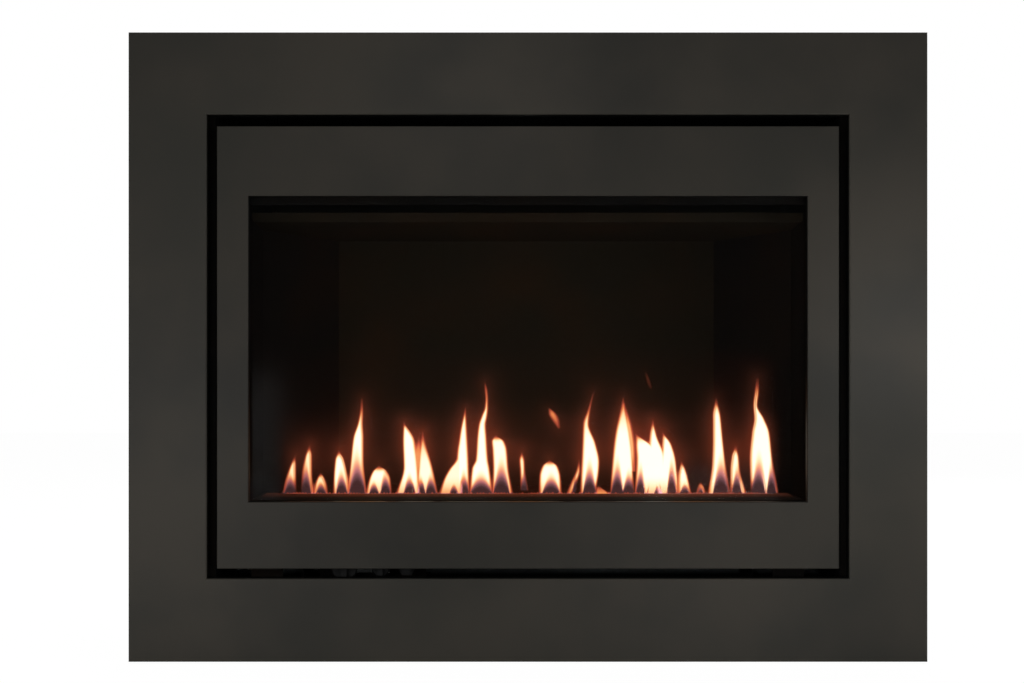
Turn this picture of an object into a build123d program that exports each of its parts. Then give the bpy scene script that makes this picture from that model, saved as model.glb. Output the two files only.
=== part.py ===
from build123d import *
import os
from math import atan2, cos, pi, sin, tan

# Gas fireplace insert: a glass-fronted, balanced-flue firebox with a ribbon burner,
# set in a steel casing that slides into a wall, and trimmed by a removable fascia
# and a wide four-sided surround with a shadow gap between the two.
#
# Millimetres. X runs along the fire, Y runs from the room into the wall, Z is up.
# x = 0 is the middle, y = 0 is the finished face of the wall, z = 0 is the underside
# of the casing, which stands on the floor of the recess.

# ------------------------------------------------------------ driving dimensions

# Window and fascia
window_width = 700.0
window_height = 383.0
fascia_side_border = 40.0
fascia_top_border = 88.0
fascia_bottom_border = 84.0
fascia_sheet = 1.5
fascia_fold = 14.0
fascia_bend = 1.6
fascia_setback = 3.0

# Shadow gap, which lets the room's air into and out of the casing
side_gap = 12.0
top_gap = 14.0
bottom_gap = 12.0

# Surround
surround_side_border = 98.0
surround_top_border = 103.0
surround_bottom_border = 104.0
surround_depth = 25.0
surround_sheet = 2.0
surround_bend = 2.2

# Casing and its fixing flange
aperture_rise = 18.0
casing_side_cover = 7.0
casing_top_cover = 1.0
casing_depth = 330.0
casing_sheet = 1.2
flange_sheet = 1.5
flange_side_reach = 32.0
flange_end_reach = 20.0
fixing_hole_radius = 3.0
fixing_side_inset = 14.0
fixing_end_inset = 60.0

# Firebox
firebox_low = 62.0
firebox_sheet = 1.5
front_plate_sheet = 2.0
front_plate_setback = 2.0
front_plate_side_margin = 2.0
front_plate_head = 36.0
opening_margin = 2.0
liner_gap = 4.0
firebox_head = 13.0
lintel_drop = 11.0
rear_duct = 28.8
air_channel = 38.5
air_slot_count = 4
air_slot_pitch = 44.0
air_slot_length = 36.0
air_slot_width = 14.0
rail_width = 25.0
rail_sheet = 1.5
rail_front = 40.0
rail_rear_inset = 10.0
rail_inset = 50.0

# Liner panels and baffle
liner_sheet = 2.0
bevel_run = 90.0
bevel_past_burner = 10.0
baffle_front = 50.0
baffle_below_window = 28.0
baffle_fall = 14.0
baffle_lip = 12.0
back_panel_fold = 12.0
notch_width = 60.0
notch_height = 16.0
notch_count = 5
notch_pitch = 110.0

# Glass, its frame, seal and turn clips
glass_thickness = 4.0
glass_overlap = 14.0
gasket_width = 12.0
gasket_inset = 1.0
glass_frame_sheet = 1.5
glass_frame_border = 20.0
glass_frame_lift = 0.5
fascia_to_glass_frame = 1.0
clip_thickness = 2.0
clip_half_width = 5.5
clip_reach = 15.0
clip_side_offset = 8.0
clip_inset = 46.0
clip_lift = 0.2
clip_grip_height = 4.0
stud_radius = 5.3
stud_shoulder_radius = 3.0
stud_head_thickness = 2.0

# Hearth plate and burner
hearth_sheet = 2.0
hearth_clearance = 1.0
burner_setback = 125.0
burner_end_inset = 24.0
burner_width = 40.0
burner_height = 32.0
burner_sheet = 1.5
burner_lift = 8.5
crown_width = 24.0
crown_height = 8.5
crown_sheet = 1.2
crown_end_inset = 2.0
crown_end_seat = 6.0
crown_seat = 4.0
crown_bend = 2.5
port_width = 1.4
port_length = 14.0
port_pitch = 8.0
burner_slot_margin = 3.0
foot_width = 40.0
foot_inset = 86.0
mixing_tube_length = 136.0
mixing_bell_length = 6.0
mixing_mouth_radius = 11.0
mixing_throat_radius = 8.0
mixing_mouth_stand = 7.0
mixing_wall = 1.0

# Pilot
pilot_past_burner = 35.0
pilot_spacing = 18.0
pilot_plate_sheet = 2.0
pilot_plate_margin = 15.0
pilot_notch_width = 64.0
pilot_notch_depth = 30.0
pilot_radius = 4.5
pilot_stand = 3.0
pilot_hexagon = 7.0
pilot_nut = 6.0
pilot_hood = 2.0
pilot_slot = 5.0
pilot_opening_margin = 7.0
electrode_radius = 1.0
electrode_tip = 12.0
thermocouple_tip = 14.0

# Gas line and controls
gas_level = 28.0
pipe_radius = 4.0
fitting_radius = 8.0
fitting_hexagon = 12.5
fitting_nut = 7.0
fitting_inner_length = 14.0
gland_height = 6.0
elbow_radius = 7.0
elbow_height = 18.0
elbow_nut = 6.0
jet_hexagon = 5.5
jet_radius = 3.5
jet_collar = 1.0
jet_length = 2.0
jet_taper = 20.0
jet_stand = 1.5
pilot_pipe_radius = 2.0
lead_radius = 1.5
lead_bend = 14.0
valve_inset = 140.0
valve_past_pilot = 10.0
valve_width = 90.0
valve_depth = 62.0
valve_height = 46.0
valve_port = 12.0
valve_port_hexagon = 9.0
valve_boss = 8.0
valve_boss_hexagon = 9.0
valve_chamfer = 3.0
cover_radius = 20.0
cover_inset = 7.0
cover_height = 4.0
bracket_sheet = 1.5
bracket_front = 40.0
bracket_left_margin = 12.0
bracket_right_margin = 24.0
bracket_rear_margin = 8.0
bracket_window_margin = 10.0
knob_spacing = 46.0
control_knob_radius = 17.0
flame_knob_radius = 12.0
knob_depth = 18.0
knob_rim = 10.0
knob_front = 2.0
knob_travel = 5.0
knob_sides = 12
knob_chamfer = 1.5
spindle_radius = 4.0
flame_spindle_radius = 3.0
spindle_seat = 10.0
spindle_cover = 1.0
spindle_relief = 1.0
grip_width = 7.0
grip_inset = 3.0
igniter_offset = 56.0
igniter_radius = 8.0
button_radius = 5.0
button_travel = 5.0
button_relief = 1.0
button_stem = 12.0
button_head = 5.0
button_head_radius = 6.5
barrel_front = 16.0
barrel_rear = 66.0
barrel_hexagon = 12.0
supply_spacing = 26.0
inlet_bore_depth = 15.0
inlet_projection = 20.0

# Flue
flue_to_rear = 120.0
flue_outer_radius = 75.0
flue_inner_radius = 50.0
flue_sheet = 1.0
flue_outer_rise = 40.0
flue_inner_rise = 50.0
flue_bead_rise = 3.0
flue_bead = 1.5
exhaust_hole_radius = 44.0
air_box_height = 30.0
air_box_sheet = 1.2
air_box_margin = 17.0
air_box_front_margin = 9.2
restrictor_width = 26.0
restrictor_sheet = 1.5
restrictor_gap = 2.0

# Magnets, brackets and straps that carry the trims
magnet_width = 16.0
magnet_length = 28.0
magnet_thickness = 6.0
magnet_inset_side = 12.0
magnet_inset_end = 18.0
magnet_post_radius = 5.0
angle_height = 30.0
angle_reach = 28.0
angle_depth = 25.0
shelf_width = 40.0
shelf_inset = 20.0
shelf_tongue = 23.0
shelf_foot = 25.0
shelf_riser = 5.0
strap_width = 18.0
strap_span = 44.0
strap_toe = 12.0
strap_inset_side = 13.0
strap_inset_end = 132.0

# Fits
seat_clearance = 0.2
running_clearance = 0.05
hole_clearance = 0.3

# ------------------------------------------------------------ edges that follow

window_side = window_width / 2
fascia_side = window_side + fascia_side_border
aperture_side = fascia_side + side_gap
surround_side = aperture_side + surround_side_border

aperture_low = aperture_rise
fascia_low = aperture_low + bottom_gap
window_low = fascia_low + fascia_bottom_border
window_high = window_low + window_height
fascia_high = window_high + fascia_top_border
aperture_high = fascia_high + top_gap
surround_low = aperture_low - surround_bottom_border
surround_high = aperture_high + surround_top_border

surround_front = -surround_depth
fascia_front = surround_front + fascia_setback
fascia_rear = fascia_front + fascia_fold

casing_side = aperture_side - casing_side_cover
casing_high = aperture_high + casing_top_cover
casing_front = -flange_sheet
casing_inner_side = casing_side - casing_sheet
casing_rear = casing_depth
flange_side = casing_side + flange_side_reach

opening_side = window_side + opening_margin
opening_low = window_low - opening_margin
opening_high = window_high + opening_margin
front_plate_front = front_plate_setback
front_plate_rear = front_plate_front + front_plate_sheet
front_plate_side = fascia_side - front_plate_side_margin
front_plate_high = opening_high + front_plate_head
firebox_side = opening_side + liner_sheet + liner_gap
firebox_high = opening_high + firebox_head
firebox_rear = casing_rear - casing_sheet - rear_duct
firebox_floor = firebox_low + firebox_sheet
firebox_ceiling = firebox_high - firebox_sheet
firebox_inner_side = firebox_side - firebox_sheet

glass_frame_front = fascia_rear + fascia_to_glass_frame
glass_front = glass_frame_front + glass_frame_sheet
glass_rear = glass_front + glass_thickness
glass_side = opening_side + glass_overlap
glass_frame_side = opening_side + glass_frame_border

back_panel_front = firebox_rear - firebox_sheet - air_channel - liner_sheet
bevel_start = burner_setback + bevel_past_burner
bevel_depth = back_panel_front - bevel_start
bevel_angle = atan2(bevel_run, bevel_depth)
bevel_end = opening_side - bevel_run
baffle_front_height = window_high - baffle_below_window
baffle_rear_height = baffle_front_height - baffle_fall

hearth_top = window_low
burner_side = window_side - burner_end_inset
burner_low = firebox_floor + burner_lift
burner_high = burner_low + burner_height
burner_axis = burner_low + burner_height / 2
crown_high = burner_high + crown_height
crown_side = burner_side - crown_end_inset
port_count = int(2 * (crown_side - port_pitch / 2) / port_pitch)
mixing_mouth = -burner_side - mixing_mouth_stand
jet_tip = mixing_mouth - jet_stand
injector_x = jet_tip - jet_length - jet_collar - elbow_radius
elbow_low = burner_axis - elbow_height / 2

valve_x = -window_side + valve_inset
valve_low = casing_sheet + bracket_sheet
valve_high = valve_low + valve_height
valve_left = valve_x - valve_width / 2
pilot_y = burner_setback + pilot_past_burner
valve_rear = pilot_y + valve_past_pilot
valve_front = valve_rear - valve_depth
valve_middle = valve_rear - valve_depth / 2
inlet_setback = burner_setback + supply_spacing
control_x = valve_x - knob_spacing / 2
flame_x = valve_x + knob_spacing / 2
igniter_x = valve_x + igniter_offset
pilot_x = igniter_x - pilot_spacing
thermocouple_x = pilot_x - pilot_spacing
rail_x = window_side - rail_inset
flue_y = firebox_rear - flue_to_rear
magnet_x = fascia_side - magnet_inset_side
magnet_levels = (fascia_low + magnet_inset_end, fascia_high - magnet_inset_end)
clip_x = glass_frame_side + clip_side_offset
clip_levels = (window_low + clip_inset, window_high - clip_inset)


# ------------------------------------------------------------ shared shapes

def upright(depth):
    """Plane facing the room at a depth behind the wall's face; its own axes are X and Z."""
    return Plane.XZ.offset(-depth)


def panel(left, right, low, high, mode=Mode.ADD):
    """Rectangle drawn from its four edges."""
    with Locations(((left + right) / 2, (low + high) / 2)):
        Rectangle(right - left, high - low, mode=mode)


def folded_frame(side, low, high, hole_side, hole_low, hole_high,
                 front, sheet, bend, fold, hole_fold):
    """Flat trim with its outer edge and the edge of its opening both folded back.

    The folds meet in welded mitres at the corners, and bend is their outside radius.
    """
    with BuildPart() as frame:
        with BuildSketch(upright(front)):
            panel(-side, side, low, high)
            panel(-hole_side, hole_side, hole_low, hole_high, Mode.SUBTRACT)
        extrude(amount=-fold)
        face_of_frame = frame.faces().sort_by(Axis.Y)[0]
        fillet(face_of_frame.edges(), radius=bend)
        with BuildSketch(upright(front + sheet)):
            panel(-side + sheet, side - sheet, low + sheet, high - sheet)
            panel(-hole_side - sheet, hole_side + sheet,
                  hole_low - sheet, hole_high + sheet, Mode.SUBTRACT)
        extrude(amount=-fold, mode=Mode.SUBTRACT)
        with BuildSketch(upright(front + hole_fold)):
            panel(-side + sheet, side - sheet, low + sheet, high - sheet)
        extrude(amount=-fold, mode=Mode.SUBTRACT)
    return frame


def firebox_plan(clearance, start, finish):
    """Half-width of the liner's inner face, less a clearance, as corners from front to rear."""
    slant_gain = clearance * tan(bevel_angle / 2)
    rear_inset = (back_panel_front - finish) * tan(bevel_angle)
    rear_side = bevel_end - clearance / cos(bevel_angle) + rear_inset
    return [
        (opening_side - clearance, start),
        (opening_side - clearance, bevel_start - slant_gain),
        (rear_side, finish),
    ]


def mirrored_outline(corners):
    """Closed outline through the given corners and their mirror images about x = 0."""
    return corners + [(-x, y) for x, y in reversed(corners)] + corners[:1]


# Underside and top of the sloping baffle
baffle_tilt = atan2(baffle_fall, back_panel_front - baffle_front)
baffle_under = Plane(
    origin=(0, baffle_front, baffle_front_height),
    x_dir=(1, 0, 0),
    z_dir=(0, sin(baffle_tilt), cos(baffle_tilt)),
)
baffle_over = baffle_under.offset(liner_sheet)

# ------------------------------------------------------------ trims

surround = folded_frame(
    surround_side, surround_low, surround_high,
    aperture_side, aperture_low, aperture_high,
    surround_front, surround_sheet, surround_bend,
    surround_depth, surround_depth - flange_sheet - seat_clearance,
)

fascia = folded_frame(
    fascia_side, fascia_low, fascia_high,
    window_side, window_low, window_high,
    fascia_front, fascia_sheet, fascia_bend,
    fascia_fold, fascia_fold,
)

# Hat-shaped straps behind the surround's upright borders, each with a block magnet that
# grips the casing's flange
strap_x = aperture_side + strap_inset_side
strap_levels = (aperture_low + strap_inset_end, aperture_high - strap_inset_end)
strap_front = surround_front + surround_sheet
strap_rear = casing_front - seat_clearance - magnet_thickness
strap_half = strap_span / 2
strap_left = strap_x - strap_width / 2

with BuildPart() as surround_straps:
    for level in strap_levels:
        with BuildSketch(Plane.YZ.offset(strap_left)):
            with Locations((0, level)):
                panel(strap_front, strap_front + bracket_sheet,
                      -strap_half - strap_toe, strap_half + strap_toe)
                panel(strap_front, strap_rear, -strap_half, strap_half)
                panel(strap_front, strap_rear - bracket_sheet,
                      bracket_sheet - strap_half, strap_half - bracket_sheet, Mode.SUBTRACT)
        extrude(amount=strap_width)
    mirror(about=Plane.YZ)

with BuildPart() as surround_magnets:
    with BuildSketch(upright(strap_rear)):
        with Locations(*[(x, z) for x in (-strap_x, strap_x) for z in strap_levels]):
            Rectangle(magnet_width, magnet_length)
    extrude(amount=-magnet_thickness)

# ------------------------------------------------------------ casing

# Base and two sides, of which the sides alone reach through the flange
with BuildPart() as casing_wrap:
    with BuildSketch(upright(casing_front)):
        panel(-casing_side, casing_side, 0, casing_high - casing_sheet)
        panel(-casing_inner_side, casing_inner_side, casing_sheet, casing_high, Mode.SUBTRACT)
    extrude(amount=-(casing_rear - casing_front))
    with BuildSketch(upright(casing_front)):
        panel(-casing_side, casing_side, 0, casing_sheet)
    extrude(amount=-flange_sheet, mode=Mode.SUBTRACT)
    with BuildSketch(Plane.YZ.offset(-casing_side)):
        with Locations((inlet_setback, gas_level)):
            Circle(fitting_radius + hole_clearance)
    extrude(amount=2 * casing_sheet, mode=Mode.SUBTRACT)

with BuildPart() as casing_back:
    with BuildSketch(upright(casing_rear - casing_sheet)):
        panel(-casing_inner_side, casing_inner_side, casing_sheet, casing_high - casing_sheet)
    extrude(amount=-casing_sheet)

with BuildPart() as casing_top:
    with BuildSketch(Plane.XY.offset(casing_high - casing_sheet)):
        panel(-casing_side, casing_side, casing_front, casing_rear)
        with Locations((0, flue_y)):
            Circle(flue_outer_radius + flue_bead + hole_clearance, mode=Mode.SUBTRACT)
    extrude(amount=casing_sheet)

with BuildPart() as fixing_flange:
    with BuildSketch(upright(casing_front)):
        panel(-flange_side, flange_side, -flange_end_reach, casing_high + flange_end_reach)
        panel(-casing_side, casing_side, 0, casing_high, Mode.SUBTRACT)
        fixing_x = casing_side + fixing_side_inset
        fixing_levels = (fixing_end_inset, casing_high - fixing_end_inset)
        with Locations(*[(x, z) for x in (-fixing_x, fixing_x) for z in fixing_levels]):
            Circle(fixing_hole_radius, mode=Mode.SUBTRACT)
    extrude(amount=-flange_sheet)

# Angles welded in the casing's four front corners, which carry the fascia's magnets
with BuildPart() as magnet_angles:
    for level in magnet_levels:
        with BuildSketch(Plane.XY.offset(level - angle_height / 2)):
            panel(casing_inner_side - angle_reach, casing_inner_side,
                  casing_front, casing_front + bracket_sheet)
            panel(casing_inner_side - bracket_sheet, casing_inner_side,
                  casing_front, casing_front + angle_depth)
        extrude(amount=angle_height)
    mirror(about=Plane.YZ)

# Block magnets on hexagonal posts, just behind the fascia's face
magnet_front = fascia_front + fascia_sheet + seat_clearance
magnet_rear = magnet_front + magnet_thickness

with BuildPart() as magnet_posts:
    for level in magnet_levels:
        with BuildSketch(upright(magnet_front)):
            with Locations((magnet_x, level)):
                Rectangle(magnet_width, magnet_length)
        extrude(amount=-magnet_thickness)
        with BuildSketch(upright(magnet_rear)):
            with Locations((magnet_x, level)):
                RegularPolygon(radius=magnet_post_radius, side_count=6)
        extrude(amount=magnet_rear - casing_front)
    mirror(about=Plane.YZ)

# Bent strips that carry the fascia's weight on its lower fold
shelf_x = window_side - shelf_inset
shelf_top = fascia_low - seat_clearance

with BuildPart() as shelf_brackets:
    with BuildSketch(Plane.YZ.offset(shelf_x - shelf_width / 2)):
        panel(shelf_riser, shelf_riser + shelf_foot, casing_sheet, casing_sheet + bracket_sheet)
        panel(shelf_riser, shelf_riser + bracket_sheet, casing_sheet, shelf_top)
        panel(shelf_riser - shelf_tongue, shelf_riser + bracket_sheet,
              shelf_top - bracket_sheet, shelf_top)
    extrude(amount=shelf_width)
    mirror(about=Plane.YZ)

with BuildPart() as support_rails:
    rail_left = rail_x - rail_width / 2
    rail_rear = firebox_rear - rail_rear_inset
    with BuildSketch(upright(rail_front)):
        panel(rail_left, rail_left + rail_width, casing_sheet, firebox_low)
        panel(rail_left + rail_sheet, rail_left + rail_width,
              casing_sheet + rail_sheet, firebox_low - rail_sheet, Mode.SUBTRACT)
    extrude(amount=-(rail_rear - rail_front))
    mirror(about=Plane.YZ)
    with BuildSketch(Plane.YZ.offset(-rail_left)):
        panel(burner_setback - fitting_radius, inlet_setback + fitting_radius,
              gas_level - fitting_radius, gas_level + fitting_radius)
    extrude(amount=-rail_sheet, mode=Mode.SUBTRACT)

# ------------------------------------------------------------ firebox

with BuildPart() as firebox_wrap:
    with BuildSketch(upright(front_plate_rear)):
        panel(-firebox_side, firebox_side, firebox_low, firebox_ceiling)
        panel(-firebox_inner_side, firebox_inner_side,
              firebox_floor, firebox_high, Mode.SUBTRACT)
    extrude(amount=-(firebox_rear - front_plate_rear))
    with BuildSketch(Plane.XY.offset(firebox_low)):
        with Locations((injector_x, burner_setback)):
            Circle(pipe_radius + hole_clearance)
        panel(thermocouple_x - pilot_opening_margin, igniter_x + pilot_opening_margin,
              pilot_y - pilot_opening_margin, pilot_y + pilot_opening_margin)
    extrude(amount=firebox_sheet, mode=Mode.SUBTRACT)

with BuildPart() as firebox_back:
    with BuildSketch(upright(firebox_rear - firebox_sheet)):
        panel(-firebox_inner_side, firebox_inner_side, firebox_floor, firebox_ceiling)
    extrude(amount=-firebox_sheet)

with BuildPart() as firebox_top:
    with BuildSketch(Plane.XY.offset(firebox_ceiling)):
        panel(-firebox_side, firebox_side, front_plate_rear, firebox_rear)
        with Locations((0, flue_y)):
            Circle(exhaust_hole_radius, mode=Mode.SUBTRACT)
        with Locations((0, firebox_rear - firebox_sheet - air_channel / 2)):
            with GridLocations(air_slot_pitch, 0, air_slot_count, 1):
                Rectangle(air_slot_length, air_slot_width, mode=Mode.SUBTRACT)
    extrude(amount=firebox_sheet)
    with BuildSketch(upright(front_plate_rear)):
        panel(-opening_side, opening_side, opening_high - lintel_drop, firebox_ceiling)
    extrude(amount=-firebox_sheet)

with BuildPart() as firebox_front:
    with BuildSketch(upright(front_plate_front)):
        panel(-front_plate_side, front_plate_side, firebox_low, front_plate_high)
        panel(-opening_side, opening_side, opening_low, opening_high, Mode.SUBTRACT)
    extrude(amount=-front_plate_sheet)

# ------------------------------------------------------------ liner panels and baffle

liner_front = front_plate_rear + hearth_clearance

with BuildPart() as side_panel_right:
    inner = firebox_plan(0, liner_front, back_panel_front)
    outer = firebox_plan(-liner_sheet, liner_front, back_panel_front)
    with BuildSketch(Plane.XY.offset(firebox_floor)):
        with BuildLine():
            Polyline(*inner, *reversed(outer), inner[0])
        make_face()
    extrude(amount=window_high - firebox_floor)
    split(bisect_by=baffle_under, keep=Keep.BOTTOM)

with BuildPart() as side_panel_left:
    mirror(side_panel_right.part, about=Plane.YZ)

# The back panel and the baffle reach the firebox's walls, and keep the air that comes down
# behind the liner apart from the hot gas above the baffle
liner_side = firebox_inner_side - hearth_clearance

with BuildPart() as back_panel:
    with BuildSketch(Plane.XY.offset(firebox_floor)):
        panel(-liner_side, liner_side, back_panel_front, back_panel_front + liner_sheet)
        for edge in (-liner_side, liner_side - liner_sheet):
            panel(edge, edge + liner_sheet, back_panel_front, back_panel_front + back_panel_fold)
    extrude(amount=firebox_ceiling - seat_clearance - firebox_floor)
    with BuildSketch(upright(back_panel_front)):
        with Locations((0, firebox_floor)):
            with GridLocations(notch_pitch, 0, notch_count, 1):
                Rectangle(notch_width, 2 * notch_height)
    extrude(amount=-liner_sheet, mode=Mode.SUBTRACT)

# Sloping sheet on top of the side panels, with its front edge folded up
with BuildPart() as baffle:
    with BuildSketch(Plane.XY.offset(baffle_rear_height)):
        panel(-liner_side, liner_side, baffle_front, back_panel_front)
    extrude(amount=baffle_fall + 2 * liner_sheet)
    split(bisect_by=baffle_under, keep=Keep.TOP)
    split(bisect_by=baffle_over, keep=Keep.BOTTOM)
    with BuildSketch(upright(baffle_front)):
        panel(-liner_side, liner_side, baffle_front_height + liner_sheet / 2,
              baffle_front_height + baffle_lip)
    extrude(amount=-liner_sheet)

# ------------------------------------------------------------ hearth plate and burner

hearth_under = hearth_top - hearth_sheet
slot_side = burner_side + burner_slot_margin
slot_half = crown_width / 2 + burner_slot_margin

with BuildPart() as hearth_plate:
    ledge = firebox_plan(hearth_clearance, liner_front, back_panel_front - hearth_clearance)
    with BuildSketch(Plane.XY.offset(hearth_under)):
        with BuildLine():
            Polyline(*mirrored_outline(ledge))
        make_face()
        with Locations((0, burner_setback)):
            Rectangle(2 * slot_side, 2 * slot_half, mode=Mode.SUBTRACT)
        panel(pilot_x - pilot_notch_width / 2, pilot_x + pilot_notch_width / 2,
              burner_setback, burner_setback + slot_half + pilot_notch_depth, Mode.SUBTRACT)
    extrude(amount=hearth_sheet)
    with BuildSketch(upright(liner_front)):
        panel(-opening_side + hearth_clearance, opening_side - hearth_clearance,
              firebox_floor, hearth_under)
    extrude(amount=-hearth_sheet)
    with BuildSketch(upright(back_panel_front - hearth_clearance - hearth_sheet)):
        with Locations((0, (firebox_floor + hearth_under) / 2)):
            with GridLocations(notch_pitch, 0, notch_count - 1, 1):
                Rectangle(notch_width / 2, hearth_under - firebox_floor)
    extrude(amount=-hearth_sheet)

with BuildPart() as burner_body:
    with BuildSketch(Plane.YZ.offset(-burner_side)):
        with Locations((burner_setback, burner_axis)):
            Rectangle(burner_width, burner_height)
    extrude(amount=2 * burner_side)
    with BuildSketch(Plane.YZ.offset(-burner_side + burner_sheet)):
        with Locations((burner_setback, burner_axis)):
            Rectangle(burner_width - 2 * burner_sheet, burner_height - 2 * burner_sheet)
    extrude(amount=2 * (burner_side - burner_sheet), mode=Mode.SUBTRACT)
    with BuildSketch(Plane.XY.offset(burner_high - burner_sheet)):
        with Locations((0, burner_setback)):
            Rectangle(2 * (crown_side - crown_end_seat), crown_width - 2 * crown_seat)
    extrude(amount=burner_sheet, mode=Mode.SUBTRACT)
    with BuildSketch(Plane.YZ.offset(-burner_side)):
        with Locations((burner_setback, burner_axis)):
            Circle(mixing_throat_radius + mixing_wall + running_clearance)
    extrude(amount=burner_sheet, mode=Mode.SUBTRACT)

# Pressed crown with a row of sawn ports, from which the flames rise
with BuildPart() as burner_crown:
    with BuildSketch(Plane.XY.offset(burner_high)):
        with Locations((0, burner_setback)):
            Rectangle(2 * crown_side, crown_width)
    extrude(amount=crown_height)
    long_edges = burner_crown.faces().sort_by(Axis.Z)[-1].edges().filter_by(Axis.X)
    fillet(long_edges, radius=crown_bend)
    with BuildSketch(Plane.XY.offset(burner_high)):
        with Locations((0, burner_setback)):
            Rectangle(2 * (crown_side - crown_sheet), crown_width - 2 * crown_sheet)
    extrude(amount=crown_height - crown_sheet, mode=Mode.SUBTRACT)
    with BuildSketch(Plane.XY.offset(crown_high - crown_sheet)):
        with Locations((0, burner_setback)):
            with GridLocations(port_pitch, 0, port_count, 1):
                Rectangle(port_width, port_length)
    extrude(amount=crown_sheet, mode=Mode.SUBTRACT)

# Bell-mouthed tube that draws in air round the jet and mixes it with the gas
bell_end = mixing_mouth + mixing_bell_length
tube_tail = mixing_mouth + mixing_tube_length

with BuildPart() as mixing_tube:
    bore = [
        (mixing_mouth, mixing_mouth_radius),
        (bell_end, mixing_throat_radius),
        (tube_tail, mixing_throat_radius),
    ]
    skin = [(x, radius + mixing_wall) for x, radius in reversed(bore)]
    with BuildSketch(Plane.XY.offset(burner_axis)):
        with BuildLine():
            Polyline(*[(x, burner_setback + radius) for x, radius in bore + skin + bore[:1]])
        make_face()
    revolve(axis=Axis((0, burner_setback, burner_axis), (1, 0, 0)))

with BuildPart() as burner_feet:
    for x in (-burner_side + foot_inset, burner_side - foot_inset):
        with BuildSketch(upright(burner_setback - burner_width / 2)):
            with Locations((x, firebox_floor + burner_lift / 2)):
                Rectangle(foot_width, burner_lift)
                Rectangle(foot_width - 2 * burner_sheet, burner_lift - 2 * burner_sheet,
                          mode=Mode.SUBTRACT)
        extrude(amount=-burner_width)

# ------------------------------------------------------------ gas line

# Elbow with a hexagon and a tapered jet, aimed down the middle of the mixing tube
with BuildPart() as injector:
    with BuildSketch(Plane.XY.offset(elbow_low)):
        with Locations((injector_x, burner_setback)):
            RegularPolygon(radius=elbow_radius, side_count=6)
    extrude(amount=elbow_height)
    with BuildSketch(Plane.YZ.offset(injector_x)):
        with Locations((burner_setback, burner_axis)):
            RegularPolygon(radius=jet_hexagon, side_count=6)
    extrude(amount=elbow_radius + jet_collar)
    with BuildSketch(Plane.YZ.offset(jet_tip - jet_length)):
        with Locations((burner_setback, burner_axis)):
            Circle(jet_radius)
    extrude(amount=jet_length, taper=jet_taper)

pipe_end = valve_left - valve_port

elbow_reach = elbow_radius + elbow_nut

# Two straight lengths that meet in an elbow fitting under the firebox
with BuildPart() as feed_pipe:
    with BuildSketch(Plane.XY.offset(gas_level + elbow_reach)):
        with Locations((injector_x, burner_setback)):
            Circle(pipe_radius)
    extrude(amount=elbow_low - gas_level - elbow_reach)
    with BuildSketch(Plane.YZ.offset(injector_x + elbow_reach)):
        with Locations((burner_setback, gas_level)):
            Circle(pipe_radius)
    extrude(amount=pipe_end - injector_x - elbow_reach)

with BuildPart() as feed_elbow:
    with BuildSketch(Plane.XY.offset(gas_level - elbow_radius)):
        with Locations((injector_x, burner_setback)):
            Rectangle(2 * elbow_radius, 2 * elbow_radius)
    extrude(amount=2 * elbow_radius)
    chamfer(feed_elbow.edges().filter_by(Axis.Y).group_by(Axis.Z)[0].sort_by(Axis.X)[0],
            length=elbow_radius)
    with BuildSketch(Plane.XY.offset(gas_level + elbow_radius)):
        with Locations((injector_x, burner_setback)):
            RegularPolygon(radius=2 * pipe_radius, side_count=6)
    extrude(amount=elbow_nut)
    with BuildSketch(Plane.YZ.offset(injector_x + elbow_radius)):
        with Locations((burner_setback, gas_level)):
            RegularPolygon(radius=2 * pipe_radius, side_count=6)
    extrude(amount=elbow_nut)

with BuildPart() as gland_nut:
    with BuildSketch(Plane.XY.offset(firebox_low - gland_height)):
        with Locations((injector_x, burner_setback)):
            RegularPolygon(radius=2 * pipe_radius, side_count=6)
            Circle(pipe_radius + running_clearance, mode=Mode.SUBTRACT)
    extrude(amount=gland_height)

fitting_inner_end = -casing_inner_side + fitting_inner_length

with BuildPart() as supply_pipe:
    with BuildSketch(Plane.YZ.offset(fitting_inner_end)):
        with Locations((inlet_setback, gas_level)):
            Circle(pipe_radius)
    extrude(amount=pipe_end - fitting_inner_end)

# Bulkhead fitting through the casing's side, where the supply is joined on site
with BuildPart() as inlet_fitting:
    with BuildSketch(Plane.YZ.offset(-casing_side - inlet_projection)):
        with Locations((inlet_setback, gas_level)):
            Circle(fitting_radius)
    extrude(amount=inlet_projection + casing_sheet)
    for start, length in (
        (-casing_side - fitting_nut, fitting_nut),
        (-casing_inner_side, fitting_inner_length),
    ):
        with BuildSketch(Plane.YZ.offset(start)):
            with Locations((inlet_setback, gas_level)):
                RegularPolygon(radius=fitting_hexagon, side_count=6)
        extrude(amount=length)
    with BuildSketch(Plane.YZ.offset(-casing_side - inlet_projection)):
        with Locations((inlet_setback, gas_level)):
            Circle(pipe_radius + running_clearance)
    extrude(amount=inlet_bore_depth, mode=Mode.SUBTRACT)

boss_front = valve_front - valve_boss
spindle_rear = valve_front + spindle_seat

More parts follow.
